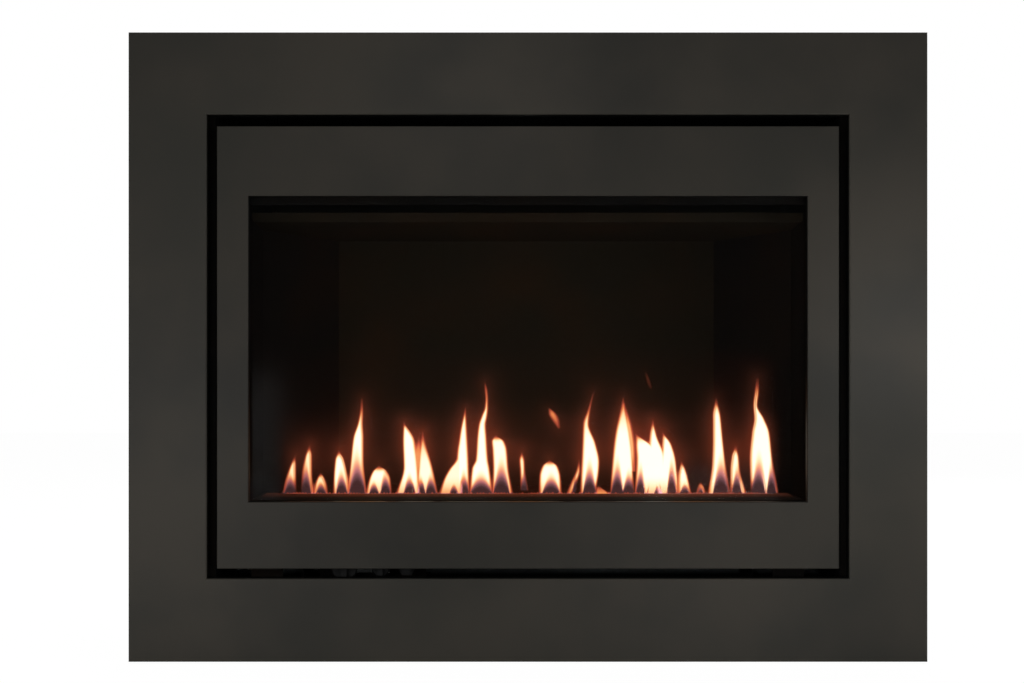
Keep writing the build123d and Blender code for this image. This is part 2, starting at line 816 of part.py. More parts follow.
with BuildPart() as gas_valve:
    with BuildSketch(Plane.XY.offset(valve_low)):
        with Locations((valve_x, valve_middle)):
            Rectangle(valve_width, valve_depth)
    extrude(amount=valve_height)
    chamfer(gas_valve.faces().sort_by(Axis.Z)[-1].edges(), length=valve_chamfer)
    with BuildSketch(Plane.XY.offset(valve_high)):
        with Locations((valve_left + cover_radius + cover_inset, valve_middle)):
            RegularPolygon(radius=cover_radius, side_count=8)
    extrude(amount=cover_height)
    for port_y in (burner_setback, inlet_setback):
        with BuildSketch(Plane.YZ.offset(valve_left)):
            with Locations((port_y, gas_level)):
                RegularPolygon(radius=valve_port_hexagon, side_count=6)
        extrude(amount=-valve_port)
    with BuildSketch(upright(boss_front)):
        with Locations((control_x, gas_level), (flame_x, gas_level)):
            RegularPolygon(radius=valve_boss_hexagon, side_count=6)
    extrude(amount=-valve_boss)
    with BuildSketch(upright(boss_front)):
        with Locations((control_x, gas_level)):
            Circle(spindle_radius + running_clearance)
        with Locations((flame_x, gas_level)):
            Circle(flame_spindle_radius + running_clearance)
    extrude(amount=-(spindle_rear + knob_travel + spindle_relief - boss_front),
            mode=Mode.SUBTRACT)

with BuildPart() as valve_bracket:
    bracket_left = valve_left - bracket_left_margin
    bracket_right = igniter_x + bracket_right_margin
    with BuildSketch(Plane.YZ.offset(bracket_left)):
        panel(bracket_front, valve_rear + bracket_rear_margin, casing_sheet, valve_low)
        panel(bracket_front, bracket_front + bracket_sheet, casing_sheet, valve_high)
    extrude(amount=bracket_right - bracket_left)
    with BuildSketch(upright(bracket_front)):
        panel(control_x - bracket_window_margin, flame_x + bracket_window_margin,
              gas_level - bracket_window_margin, gas_level + bracket_window_margin)
        with Locations((igniter_x, gas_level)):
            Circle(igniter_radius + hole_clearance)
    extrude(amount=-bracket_sheet, mode=Mode.SUBTRACT)

# ------------------------------------------------------------ controls

knob_rear = knob_front + knob_depth
knob_face = knob_rear - knob_rim
spindle_front = knob_face + spindle_cover

with BuildPart() as control_spindle:
    with BuildSketch(upright(spindle_front)):
        with Locations((control_x, gas_level)):
            Circle(spindle_radius)
    extrude(amount=-(spindle_rear - spindle_front))

with BuildPart() as control_knob:
    with BuildSketch(upright(knob_face)):
        with Locations((control_x, gas_level)):
            RegularPolygon(radius=control_knob_radius, side_count=knob_sides)
    extrude(amount=-knob_rim)
    chamfer(control_knob.faces().sort_by(Axis.Y)[0].edges(), length=knob_chamfer)
    with BuildSketch(upright(knob_front)):
        with Locations((control_x, gas_level)):
            Rectangle(grip_width, 2 * (control_knob_radius - grip_inset))
    extrude(amount=-(knob_face - knob_front))
    with BuildSketch(upright(spindle_front - seat_clearance)):
        with Locations((control_x, gas_level)):
            Circle(spindle_radius + running_clearance)
    extrude(amount=-knob_rim, mode=Mode.SUBTRACT)

with BuildPart() as flame_knob:
    with BuildSketch(upright(knob_face)):
        with Locations((flame_x, gas_level)):
            RegularPolygon(radius=flame_knob_radius, side_count=knob_sides)
    extrude(amount=-knob_rim)
    chamfer(flame_knob.faces().sort_by(Axis.Y)[0].edges(), length=knob_chamfer)
    with BuildSketch(upright(knob_front)):
        with Locations((flame_x, gas_level)):
            Rectangle(grip_width, 2 * (flame_knob_radius - grip_inset))
    extrude(amount=-(knob_face - knob_front))
    with BuildSketch(upright(knob_rear)):
        with Locations((flame_x, gas_level)):
            Circle(flame_spindle_radius)
    extrude(amount=-(spindle_rear - knob_rear))

with BuildPart() as igniter_barrel:
    with BuildSketch(upright(barrel_front)):
        with Locations((igniter_x, gas_level)):
            RegularPolygon(radius=barrel_hexagon, side_count=6)
    extrude(amount=-(bracket_front - barrel_front))
    with BuildSketch(upright(bracket_front)):
        with Locations((igniter_x, gas_level)):
            Circle(igniter_radius)
    extrude(amount=-(barrel_rear - bracket_front))
    with BuildSketch(upright(barrel_front)):
        with Locations((igniter_x, gas_level)):
            Circle(button_radius + running_clearance)
    extrude(amount=-(button_stem + button_travel), mode=Mode.SUBTRACT)

with BuildPart() as igniter_button:
    button_seat = barrel_front - button_travel - button_relief
    with BuildSketch(upright(button_seat - button_head)):
        with Locations((igniter_x, gas_level)):
            RegularPolygon(radius=button_head_radius, side_count=knob_sides)
    extrude(amount=-button_head)
    with BuildSketch(upright(button_seat)):
        with Locations((igniter_x, gas_level)):
            Circle(button_radius)
    extrude(amount=-button_stem)

# ------------------------------------------------------------ pilot and its lines

pilot_base = firebox_floor + pilot_plate_sheet
pilot_top = hearth_top + pilot_stand

# Plate that seals the opening in the firebox floor and carries the three pilot pieces
with BuildPart() as pilot_plate:
    with BuildSketch(Plane.XY.offset(firebox_floor)):
        panel(thermocouple_x - pilot_plate_margin, igniter_x + pilot_plate_margin,
              pilot_y - pilot_plate_margin, pilot_y + pilot_plate_margin)
    extrude(amount=pilot_plate_sheet)

with BuildPart() as pilot_burner:
    with BuildSketch(Plane.XY.offset(pilot_base)):
        with Locations((pilot_x, pilot_y)):
            Circle(pilot_radius)
    extrude(amount=pilot_top - pilot_base)
    with BuildSketch(Plane.XY.offset(pilot_base)):
        with Locations((pilot_x, pilot_y)):
            RegularPolygon(radius=pilot_hexagon, side_count=6)
    extrude(amount=pilot_nut)
    with BuildSketch(Plane.XY.offset(pilot_top - pilot_hood - pilot_slot)):
        with Locations((pilot_x, pilot_y - pilot_radius)):
            Rectangle(pilot_radius, 2 * pilot_radius)
    extrude(amount=pilot_slot, mode=Mode.SUBTRACT)

with BuildPart() as spark_electrode:
    with BuildSketch(Plane.XY.offset(pilot_base)):
        with Locations((igniter_x, pilot_y)):
            Circle(pilot_radius)
    extrude(amount=pilot_top - electrode_tip - pilot_base)
    with BuildSketch(Plane.XY.offset(pilot_top - electrode_tip)):
        with Locations((igniter_x, pilot_y)):
            Circle(electrode_radius)
    extrude(amount=electrode_tip)

with BuildPart() as thermocouple:
    with BuildSketch(Plane.XY.offset(pilot_base)):
        with Locations((thermocouple_x, pilot_y)):
            RegularPolygon(radius=pilot_radius, side_count=6)
    extrude(amount=pilot_top - thermocouple_tip - pilot_base)
    with BuildSketch(Plane.XY.offset(pilot_top - thermocouple_tip)):
        with Locations((thermocouple_x, pilot_y)):
            Circle(pilot_radius / 2)
    extrude(amount=thermocouple_tip)

with BuildPart() as pilot_pipe:
    with BuildSketch(Plane.XY.offset(valve_high)):
        with Locations((pilot_x, pilot_y)):
            Circle(pilot_pipe_radius)
    extrude(amount=firebox_floor - valve_high)

with BuildPart() as thermocouple_lead:
    with BuildSketch(Plane.XY.offset(valve_high)):
        with Locations((thermocouple_x, pilot_y)):
            Circle(lead_radius)
    extrude(amount=firebox_floor - valve_high)

with BuildPart() as ignition_lead:
    with BuildLine() as lead_route:
        Polyline(
            (igniter_x, pilot_y, firebox_floor),
            (igniter_x, pilot_y, gas_level + lead_bend),
            (igniter_x, barrel_rear + lead_bend, gas_level),
            (igniter_x, barrel_rear, gas_level),
        )
    with BuildSketch(Plane.XY.offset(firebox_floor)):
        with Locations((igniter_x, pilot_y)):
            Circle(lead_radius)
    sweep(path=lead_route.line, transition=Transition.RIGHT)

# ------------------------------------------------------------ glass

with BuildPart() as glass_gasket:
    gasket_reach = gasket_inset + gasket_width
    with BuildSketch(upright(glass_rear)):
        panel(-opening_side - gasket_reach, opening_side + gasket_reach,
              opening_low - gasket_reach, opening_high + gasket_reach)
        panel(-opening_side - gasket_inset, opening_side + gasket_inset,
              opening_low - gasket_inset, opening_high + gasket_inset, Mode.SUBTRACT)
    extrude(amount=-(front_plate_front - glass_rear))

with BuildPart() as glass_pane:
    with BuildSketch(upright(glass_front)):
        panel(-glass_side, glass_side, opening_low - glass_overlap, opening_high + glass_overlap)
    extrude(amount=-glass_thickness)

with BuildPart() as glass_frame:
    frame_low = opening_low - glass_frame_border
    frame_high = opening_high + glass_frame_border
    frame_fold = front_plate_front - glass_frame_lift - glass_frame_front
    with BuildSketch(upright(glass_frame_front)):
        panel(-glass_frame_side, glass_frame_side, frame_low, frame_high)
    extrude(amount=-frame_fold)
    with BuildSketch(upright(glass_front)):
        panel(-glass_frame_side + glass_frame_sheet, glass_frame_side - glass_frame_sheet,
              frame_low + glass_frame_sheet, frame_high - glass_frame_sheet)
    extrude(amount=-frame_fold, mode=Mode.SUBTRACT)
    with BuildSketch(upright(glass_frame_front)):
        panel(-opening_side, opening_side, opening_low, opening_high)
    extrude(amount=-frame_fold, mode=Mode.SUBTRACT)

clip_rear = glass_frame_front - clip_lift
clip_front = clip_rear - clip_thickness
head_rear = clip_front - seat_clearance
head_front = head_rear - stud_head_thickness

# Shouldered hexagon studs on the firebox front, on which the glass clips turn
with BuildPart() as clip_studs:
    for x in (-clip_x, clip_x):
        for level in clip_levels:
            with BuildSketch(upright(clip_rear)):
                with Locations((x, level)):
                    RegularPolygon(radius=stud_radius, side_count=6)
            extrude(amount=clip_rear - front_plate_front)
            with BuildSketch(upright(head_rear)):
                with Locations((x, level)):
                    Circle(stud_shoulder_radius)
            extrude(amount=head_rear - clip_rear)
            with BuildSketch(upright(head_front)):
                with Locations((x, level)):
                    RegularPolygon(radius=stud_radius, side_count=6)
            extrude(amount=head_front - head_rear)


def turn_clip(side, level):
    """Clip that reaches from its stud over the glass frame; side is -1 on the left."""
    with BuildPart() as clip:
        with BuildSketch(upright(clip_front)):
            with Locations((side * clip_x, level)):
                RegularPolygon(radius=clip_half_width, side_count=8, major_radius=False,
                               rotation=22.5)
            with Locations((side * (clip_x - clip_reach / 2), level)):
                Rectangle(clip_reach, 2 * clip_half_width)
            with Locations((side * clip_x, level)):
                Circle(stud_shoulder_radius + running_clearance, mode=Mode.SUBTRACT)
        extrude(amount=-clip_thickness)
        with BuildSketch(upright(clip_front - clip_grip_height)):
            with Locations((side * (clip_x - clip_reach + clip_thickness / 2), level)):
                Rectangle(clip_thickness, 2 * clip_half_width)
        extrude(amount=-clip_grip_height)
    return clip


clip_left_low = turn_clip(-1, clip_levels[0])
clip_left_high = turn_clip(-1, clip_levels[1])
clip_right_low = turn_clip(1, clip_levels[0])
clip_right_high = turn_clip(1, clip_levels[1])

# ------------------------------------------------------------ flue

air_box_high = firebox_high + air_box_height
air_box_side = flue_outer_radius + air_box_margin
air_box_front = flue_y - flue_outer_radius - air_box_front_margin


def spigot(radius, foot, top, bead):
    """Round flue spigot, welded at its foot, with a bead on which the flue pipe stops."""
    stop = casing_high + flue_bead_rise
    with BuildPart() as pipe:
        with BuildSketch(Plane.XZ.offset(-flue_y)):
            with BuildLine():
                Polyline(
                    (radius, top),
                    (radius - flue_sheet, top),
                    (radius - flue_sheet, foot),
                    (radius, foot),
                    (radius, stop - bead),
                    (radius + bead, stop),
                    (radius, stop + bead),
                    (radius, top),
                )
            make_face()
        revolve(axis=Axis((0, flue_y, 0), (0, 0, 1)))
    return pipe


flue_outer = spigot(flue_outer_radius, air_box_high, casing_high + flue_outer_rise, flue_bead)
flue_inner = spigot(flue_inner_radius, firebox_high, casing_high + flue_inner_rise, flue_bead)

# Box over the firebox that leads combustion air from the outer spigot to behind the liner
with BuildPart() as air_box:
    with BuildSketch(Plane.XY.offset(firebox_high)):
        panel(-air_box_side, air_box_side, air_box_front, firebox_rear)
    extrude(amount=air_box_height)
    with BuildSketch(Plane.XY.offset(firebox_high)):
        panel(-air_box_side + air_box_sheet, air_box_side - air_box_sheet,
              air_box_front + air_box_sheet, firebox_rear - air_box_sheet)
    extrude(amount=air_box_height - air_box_sheet, mode=Mode.SUBTRACT)
    with BuildSketch(Plane.XY.offset(air_box_high - air_box_sheet)):
        with Locations((0, flue_y)):
            Circle(flue_outer_radius - flue_sheet)
    extrude(amount=air_box_sheet, mode=Mode.SUBTRACT)

with BuildPart() as flue_restrictor:
    restrictor_half = flue_inner_radius - flue_sheet - restrictor_gap
    with BuildSketch(Plane.XY.offset(firebox_high)):
        with Locations((0, flue_y)):
            Rectangle(2 * restrictor_half, restrictor_width)
    extrude(amount=restrictor_sheet)

# ------------------------------------------------------------ files

pieces = {
    "surround": surround,
    "surround_straps": surround_straps,
    "surround_magnets": surround_magnets,
    "fascia": fascia,
    "casing_wrap": casing_wrap,
    "casing_back": casing_back,
    "casing_top": casing_top,
    "fixing_flange": fixing_flange,
    "magnet_angles": magnet_angles,
    "magnet_posts": magnet_posts,
    "shelf_brackets": shelf_brackets,
    "support_rails": support_rails,
    "firebox_wrap": firebox_wrap,
    "firebox_back": firebox_back,
    "firebox_top": firebox_top,
    "firebox_front": firebox_front,
    "side_panel_left": side_panel_left,
    "side_panel_right": side_panel_right,
    "back_panel": back_panel,
    "baffle": baffle,
    "hearth_plate": hearth_plate,
    "burner_body": burner_body,
    "burner_crown": burner_crown,
    "mixing_tube": mixing_tube,
    "burner_feet": burner_feet,
    "injector": injector,
    "feed_pipe": feed_pipe,
    "feed_elbow": feed_elbow,
    "gland_nut": gland_nut,
    "supply_pipe": supply_pipe,
    "inlet_fitting": inlet_fitting,
    "gas_valve": gas_valve,
    "valve_bracket": valve_bracket,
    "control_spindle": control_spindle,
    "control_knob": control_knob,
    "flame_knob": flame_knob,
    "igniter_barrel": igniter_barrel,
    "igniter_button": igniter_button,
    "pilot_plate": pilot_plate,
    "pilot_burner": pilot_burner,
    "spark_electrode": spark_electrode,
    "thermocouple": thermocouple,
    "pilot_pipe": pilot_pipe,
    "thermocouple_lead": thermocouple_lead,
    "ignition_lead": ignition_lead,
    "glass_gasket": glass_gasket,
    "glass_pane": glass_pane,
    "glass_frame": glass_frame,
    "clip_studs": clip_studs,
    "clip_left_low": clip_left_low,
    "clip_left_high": clip_left_high,
    "clip_right_low": clip_right_low,
    "clip_right_high": clip_right_high,
    "flue_outer": flue_outer,
    "flue_inner": flue_inner,
    "air_box": air_box,
    "flue_restrictor": flue_restrictor,
}

os.makedirs("parts", exist_ok=True)
for name, piece in pieces.items():
    piece.part.label = name
    export_step(piece.part, f"parts/{name}.step")
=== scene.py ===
"""The looks of a balanced-flue gas fireplace insert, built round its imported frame.

The object's sizes are written in millimetres and turned to Blender's metres by MM, and the
studio's are in metres. X runs along the fire, Y from the room into the wall, Z is up.
"""

import logging
import math
from dataclasses import dataclass, field
from enum import Enum

import bmesh
import bpy
import numpy as np
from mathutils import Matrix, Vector


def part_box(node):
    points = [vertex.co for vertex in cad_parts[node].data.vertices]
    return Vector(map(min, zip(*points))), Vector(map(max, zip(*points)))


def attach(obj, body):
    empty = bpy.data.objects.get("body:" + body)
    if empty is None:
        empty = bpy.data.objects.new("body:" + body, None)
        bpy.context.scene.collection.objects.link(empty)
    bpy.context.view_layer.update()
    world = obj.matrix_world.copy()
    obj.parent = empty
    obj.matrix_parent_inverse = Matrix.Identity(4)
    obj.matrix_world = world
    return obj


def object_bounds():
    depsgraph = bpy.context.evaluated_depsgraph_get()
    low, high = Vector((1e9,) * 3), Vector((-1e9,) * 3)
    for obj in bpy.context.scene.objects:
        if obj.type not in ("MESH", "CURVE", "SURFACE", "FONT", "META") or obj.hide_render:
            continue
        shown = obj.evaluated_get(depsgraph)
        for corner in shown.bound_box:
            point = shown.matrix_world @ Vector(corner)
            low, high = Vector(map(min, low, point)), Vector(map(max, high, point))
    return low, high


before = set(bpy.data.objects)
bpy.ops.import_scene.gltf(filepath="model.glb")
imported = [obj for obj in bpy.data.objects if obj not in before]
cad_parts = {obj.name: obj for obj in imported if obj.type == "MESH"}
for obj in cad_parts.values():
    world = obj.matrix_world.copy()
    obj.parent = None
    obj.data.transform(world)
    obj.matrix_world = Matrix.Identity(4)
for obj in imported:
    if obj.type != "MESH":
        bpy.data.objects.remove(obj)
CAD_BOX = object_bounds()

LOG = logging.getLogger("fireplace_insert")
MM = 0.001
RIGHT, LEFT = Vector((1, 0, 0)), Vector((-1, 0, 0))
INTO_ROOM, INTO_WALL, UP = Vector((0, -1, 0)), Vector((0, 1, 0)), Vector((0, 0, 1))


# ------------------------------------------------------------------ shared helpers

def srgb(code: str, alpha: float = 1.0) -> tuple[float, float, float, float]:
    """Turns an sRGB hex colour to the linear values that Blender's sockets take.

    Args:
        code: colour as #RRGGBB.
        alpha: fourth value of the result.

    Returns:
        Linear red, green and blue, and alpha.
    """
    shares = [int(code[i:i + 2], 16) / 255 for i in (1, 3, 5)]
    linear = [s / 12.92 if s <= 0.04045 else ((s + 0.055) / 1.055) ** 2.4 for s in shares]
    return (*linear, alpha)


def per_size(size: float) -> float:
    """Texture scale, in repeats to the metre, of a feature of a size in millimetres."""
    return 1 / (size * MM)


def add_node(tree: bpy.types.NodeTree, kind: str, inputs: dict | None = None,
             **settings: object) -> bpy.types.Node:
    """Adds one node with its settings, its input values and its links.

    Args:
        tree: shader or geometry tree that takes the node.
        kind: Blender's type name of the node.
        inputs: input name or index, with a plain value or the output socket that feeds it.
        settings: the node's own attributes.

    Returns:
        The new node.
    """
    node = tree.nodes.new(kind)
    for name, value in settings.items():
        setattr(node, name, value)
    for name, value in (inputs or {}).items():
        if isinstance(value, bpy.types.NodeSocket):
            tree.links.new(value, node.inputs[name])
        else:
            node.inputs[name].default_value = value
    return node


def new_piece(name: str, mesh: bpy.types.Mesh, body: str) -> bpy.types.Object:
    """Links a finished mesh as a piece that rides on a body.

    Args:
        name: name of the piece.
        mesh: its mesh, in place in the row frame.
        body: CAD body that carries it.

    Returns:
        The piece.
    """
    piece = bpy.data.objects.new(name, mesh)
    bpy.context.scene.collection.objects.link(piece)
    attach(piece, body)
    LOG.info("%s: %d faces on %s", name, len(mesh.polygons), body)
    return piece


def dress(finish: "Finish", nodes: tuple[str, ...]) -> None:
    """Gives CAD nodes a finish in place of the plain one that they were packed with.

    Args:
        finish: the finish.
        nodes: names of the CAD nodes.
    """
    material = finish.material()
    for name in nodes:
        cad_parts[name].material_slots[0].material = material
        LOG.info("%s: %s", name, finish.name)


# ------------------------------------------------------------------ finishes

@dataclass(frozen=True)
class Patches:
    """Soft patches of noise, with their width in millimetres.

    low and high are the noise levels that become 0 and 1, and stretch is how much denser the
    patches are along each axis.
    """

    size: float
    detail: float = 2.0
    low: float = 0.35
    high: float = 0.65
    stretch: tuple[float, float, float] = (1.0, 1.0, 1.0)


@dataclass(frozen=True)
class Space:
    """A box-shaped space in the casing, in millimetres.

    start and end are the depths at which its share is 0 and 1.
    """

    half_width: float
    low: float
    high: float
    start: float
    end: float


class Surface:
    """A material while it is made: its tree, its shader and the piece's own coordinates."""

    def __init__(self, name: str, values: dict[str, object]) -> None:
        """Starts a material with one Principled shader.

        Args:
            name: name of the material.
            values: what is set on the shader, by the name of the input.
        """
        self.material = bpy.data.materials.new(name)
        self.material.use_nodes = True
        self.tree = self.material.node_tree
        self.shader = self.tree.nodes["Principled BSDF"]
        for label, value in values.items():
            self.shader.inputs[label].default_value = value
        self.place = self.add("ShaderNodeTexCoord").outputs["Object"]

    def add(self, kind: str, inputs: dict | None = None, **settings: object) -> bpy.types.Node:
        """Adds a node to this material's tree."""
        return add_node(self.tree, kind, inputs, **settings)

    def feed(self, name: str, socket: bpy.types.NodeSocket) -> None:
        """Joins a socket to an input of the shader."""
        self.tree.links.new(socket, self.shader.inputs[name])

    def fed(self, name: str) -> bpy.types.NodeSocket:
        """Socket that feeds an input of the shader."""
        return self.shader.inputs[name].links[0].from_socket

    def patches(self, kind: Patches) -> bpy.types.NodeSocket:
        """Spreads patches over the surface.

        Args:
            kind: the patches.

        Returns:
            Their level from 0 to 1.
        """
        where = self.add("ShaderNodeMapping", {"Vector": self.place, "Scale": kind.stretch})
        noise = self.add("ShaderNodeTexNoise", {
            "Vector": where.outputs[0], "Scale": per_size(kind.size), "Detail": kind.detail})
        return self.add("ShaderNodeMapRange", {
            "Value": noise.outputs[0], "From Min": kind.low, "From Max": kind.high},
            interpolation_type="SMOOTHSTEP").outputs[0]

    def within(self, space: Space) -> bpy.types.NodeSocket:
        """Finds by place how far a point is in a space.

        Args:
            space: the space.

        Returns:
            Its share from 0 to 1, which is 0 beside, over and under the space.
        """
        across, depth, height = self.add("ShaderNodeSeparateXYZ", {0: self.place}).outputs
        share = self.add("ShaderNodeMapRange", {
            "Value": depth, "From Min": space.start * MM, "From Max": space.end * MM})
        for axis, middle, reach in (
                (across, 0.0, space.half_width),
                (height, (space.low + space.high) / 2, (space.high - space.low) / 2)):
            inside = self.add("ShaderNodeMath", {
                0: axis, 1: middle * MM, 2: reach * MM}, operation="COMPARE")
            share = self.add("ShaderNodeMath", {
                0: share.outputs[0], 1: inside.outputs[0]}, operation="MULTIPLY")
        return share.outputs[0]

    def blend(self, level: bpy.types.NodeSocket, first: object,
              second: object) -> bpy.types.NodeSocket:
        """Mixes two colours, each an sRGB hex code or a colour socket.

        Args:
            level: 0 gives the first colour and 1 the second.
            first: one colour.
            second: the other colour.

        Returns:
            The mixed colour.
        """
        ends = [srgb(c) if isinstance(c, str) else c for c in (first, second)]
        mix = self.add("ShaderNodeMix", {0: level, 6: ends[0], 7: ends[1]}, data_type="RGBA")
        return mix.outputs[2]

    def vary_roughness(self, level: bpy.types.NodeSocket, finish: "Finish") -> None:
        """Lets the roughness follow a level.

        Args:
            level: 0 gives the lower end of the finish's span and 1 the upper one.
            finish: the finish.
        """
        low, high = (min(1.0, finish.roughness + part) for part in finish.span)
        span = self.add("ShaderNodeMapRange", {"Value": level, "To Min": low, "To Max": high})
        self.feed("Roughness", span.outputs[0])

    def relief(self, level: bpy.types.NodeSocket, depth: float, strength: float = 1.0) -> None:
        """Raises the surface by a level, with depth in millimetres."""
        bump = self.add("ShaderNodeBump", {
            "Height": level, "Distance": depth * MM, "Strength": strength})
        self.feed("Normal", bump.outputs[0])


@dataclass(frozen=True)
class Finish:
    """What each finish states: its name, its colour and how light leaves it.

    span is what is added to the roughness at the two ends of the pattern.
    """

    name: str
    colour: str
    roughness: float
    metallic: float = 0.0
    specular: float = 0.5
    span: tuple[float, float] = (0.0, 0.1)

    def material(self) -> bpy.types.Material:
        """Makes the material once, and gives the same one again when asked again.

        Returns:
            The material.
        """
        made = bpy.data.materials.get(self.name)
        if made:
            return made
        surface = Surface(self.name, {
            "Base Color": srgb(self.colour), "Roughness": self.roughness,
            "Metallic": self.metallic, "Specular IOR Level": self.specular})
        self.pattern(surface)
        return surface.material

    def pattern(self, surface: Surface) -> None:
        """Adds the finish's own pattern to a surface."""
        raise NotImplementedError


@dataclass(frozen=True)
class PowderCoat(Finish):
    """Satin powder coat on sheet steel, sprayed and baked.

    The eye sees a deep grey with wide, very soft clouds of olive and brown, and no grain.
    """

    shade: str = "#282724"
    warm: str = "#34312C"
    # The next colour is painted shade, laid on the folds in the gap that the space below marks.
    fold_shade: str = "#070706"
    cloud: Patches = Patches(170.0, 3.0, 0.3, 0.7)
    drift: Patches = Patches(420.0, 1.0)
    peel: Patches = Patches(2.2, 0.0)
    peel_depth: float = 0.004
    shaded_folds: Space = Space(404.5, 15.5, 601.5, -22.2, -20.8)
    span: tuple[float, float] = (-0.04, 0.05)

    def pattern(self, surface: Surface) -> None:
        """Lays two sizes of cloud over the colour, a trace of orange peel, and painted black
        shade on the folds that look into the gap between the trims."""
        clouds = surface.patches(self.cloud)
        base = surface.blend(surface.patches(self.drift), self.shade, self.colour)
        coat = surface.blend(clouds, base, self.warm)
        # Painted shade on the folds that look into the gap between the trims.
        surface.feed("Base Color", surface.blend(surface.within(self.shaded_folds), coat, self.fold_shade))
        surface.vary_roughness(clouds, self)
        surface.relief(surface.patches(self.peel), self.peel_depth)


@dataclass(frozen=True)
class ZincCoat(Finish):
    """Hot-dip zinc on sheet steel.

    The eye sees dull blue-grey metal broken into flat crystals, each with its own tone.
    """

    shade: str = "#888D8F"
    spangle: float = 9.0
    ragged: float = 3.0
    stain: Patches = Patches(120.0, 4.0, 0.45, 0.8)
    ripple: Patches = Patches(5.0, 1.0)
    ripple_depth: float = 0.02
    ripple_strength: float = 0.5
    span: tuple[float, float] = (-0.08, 0.12)

    def pattern(self, surface: Surface) -> None:
        """Gives each crystal a tone and a roughness, with slow stains over them."""
        noise = surface.add("ShaderNodeTexNoise", {
            "Vector": surface.place, "Scale": per_size(self.spangle / 2)})
        edge = surface.add("ShaderNodeVectorMath", {
            0: noise.outputs["Color"], "Scale": self.spangle * MM / self.ragged},
            operation="SCALE")
        place = surface.add("ShaderNodeVectorMath", {
            0: surface.place, 1: edge.outputs[0]}, operation="ADD")
        crystals = surface.add("ShaderNodeTexVoronoi", {
            "Vector": place.outputs[0], "Scale": per_size(self.spangle)})
        tone = surface.add("ShaderNodeSeparateColor", {0: crystals.outputs["Color"]})
        base = surface.blend(tone.outputs[0], self.shade, self.colour)
        surface.feed("Base Color", surface.blend(surface.patches(self.stain), base, self.shade))
        surface.vary_roughness(tone.outputs[1], self)
        surface.relief(surface.patches(self.ripple), self.ripple_depth, self.ripple_strength)


@dataclass(frozen=True)
class ZincWithPaintedShade(ZincCoat):
    """Hot-dip zinc, black inside its room end and along the edge as painted shade.

    The eye sees spangled metal from outside and only painted shade through the gap by the
    fascia.
    """

    # paint is the colour of the painted shade, and inside and rim are where it lies.
    paint: str = "#060606"
    inside: Space = Space(394.4, 0.6, 599.4, 210.0, 160.0)
    rim: Space = Space(396.0, -1.0, 601.0, 8.0, 4.0)

    def pattern(self, surface: Surface) -> None:
        """Covers the crystals with painted shade inside the casing, thinning out with depth."""
        super().pattern(surface)
        cover = surface.add("ShaderNodeMath", {
            0: surface.within(self.inside), 1: surface.within(self.rim)},
            operation="MAXIMUM").outputs[0]
        surface.feed("Base Color", surface.blend(cover, surface.fed("Base Color"), self.paint))
        bare = surface.add("ShaderNodeMath", {0: 1.0, 1: cover}, operation="SUBTRACT")
        surface.feed("Metallic", bare.outputs[0])
        dull = surface.add("ShaderNodeMath", {
            0: surface.fed("Roughness"), 1: cover}, operation="MAXIMUM")
        surface.feed("Roughness", dull.outputs[0])


@dataclass(frozen=True)
class HeatPaint(Finish):
    """Matt black silicone paint on steel that stands the fire's heat.

    The eye sees a soft black with a fine dry grain, browned and greyed where it has run hot.
    The grain is drawn coarser than the real one, so that it shows.
    """

    scorched: str = "#0E0A07"
    dust: str = "#100F0D"
    scorch: Patches = Patches(140.0, 3.0, 0.4, 0.75)
    dusting: Patches = Patches(8.8, 5.0, 0.5, 0.8)
    grain: Patches = Patches(1.1)
    grain_depth: float = 0.03
    span: tuple[float, float] = (-0.06, 0.1)

    def pattern(self, surface: Surface) -> None:
        """Browns the paint in wide patches and gives it a fine grain."""
        hot = surface.patches(self.scorch)
        base = surface.blend(hot, self.colour, self.scorched)
        surface.feed("Base Color", surface.blend(surface.patches(self.dusting), base, self.dust))
        surface.vary_roughness(hot, self)
        surface.relief(surface.patches(self.grain), self.grain_depth)


@dataclass(frozen=True)
class BakedAndFirelitPaint(HeatPaint):
    """Matt black silicone paint on a plate that lies beside the burner.

    The eye sees black turning red-brown towards the ports: baked paint and painted firelight.
    """

    # baked is partly painted firelight, lighter near the ports where the fire lights the plate.
    baked: str = "#7A4836"
    rise: Space = Space(345.0, 40.0, 115.0, 45.0, 112.0)
    front: Space = Space(345.0, 40.0, 115.0, 122.0, 118.0)

    def pattern(self, surface: Surface) -> None:
        """Browns the paint with depth, as baked paint and painted firelight, over its grain."""
        super().pattern(surface)
        heat = surface.add("ShaderNodeMath", {
            0: surface.within(self.rise), 1: surface.within(self.front)}, operation="MULTIPLY")
        surface.feed("Base Color", surface.blend(
            heat.outputs[0], surface.fed("Base Color"), self.baked))


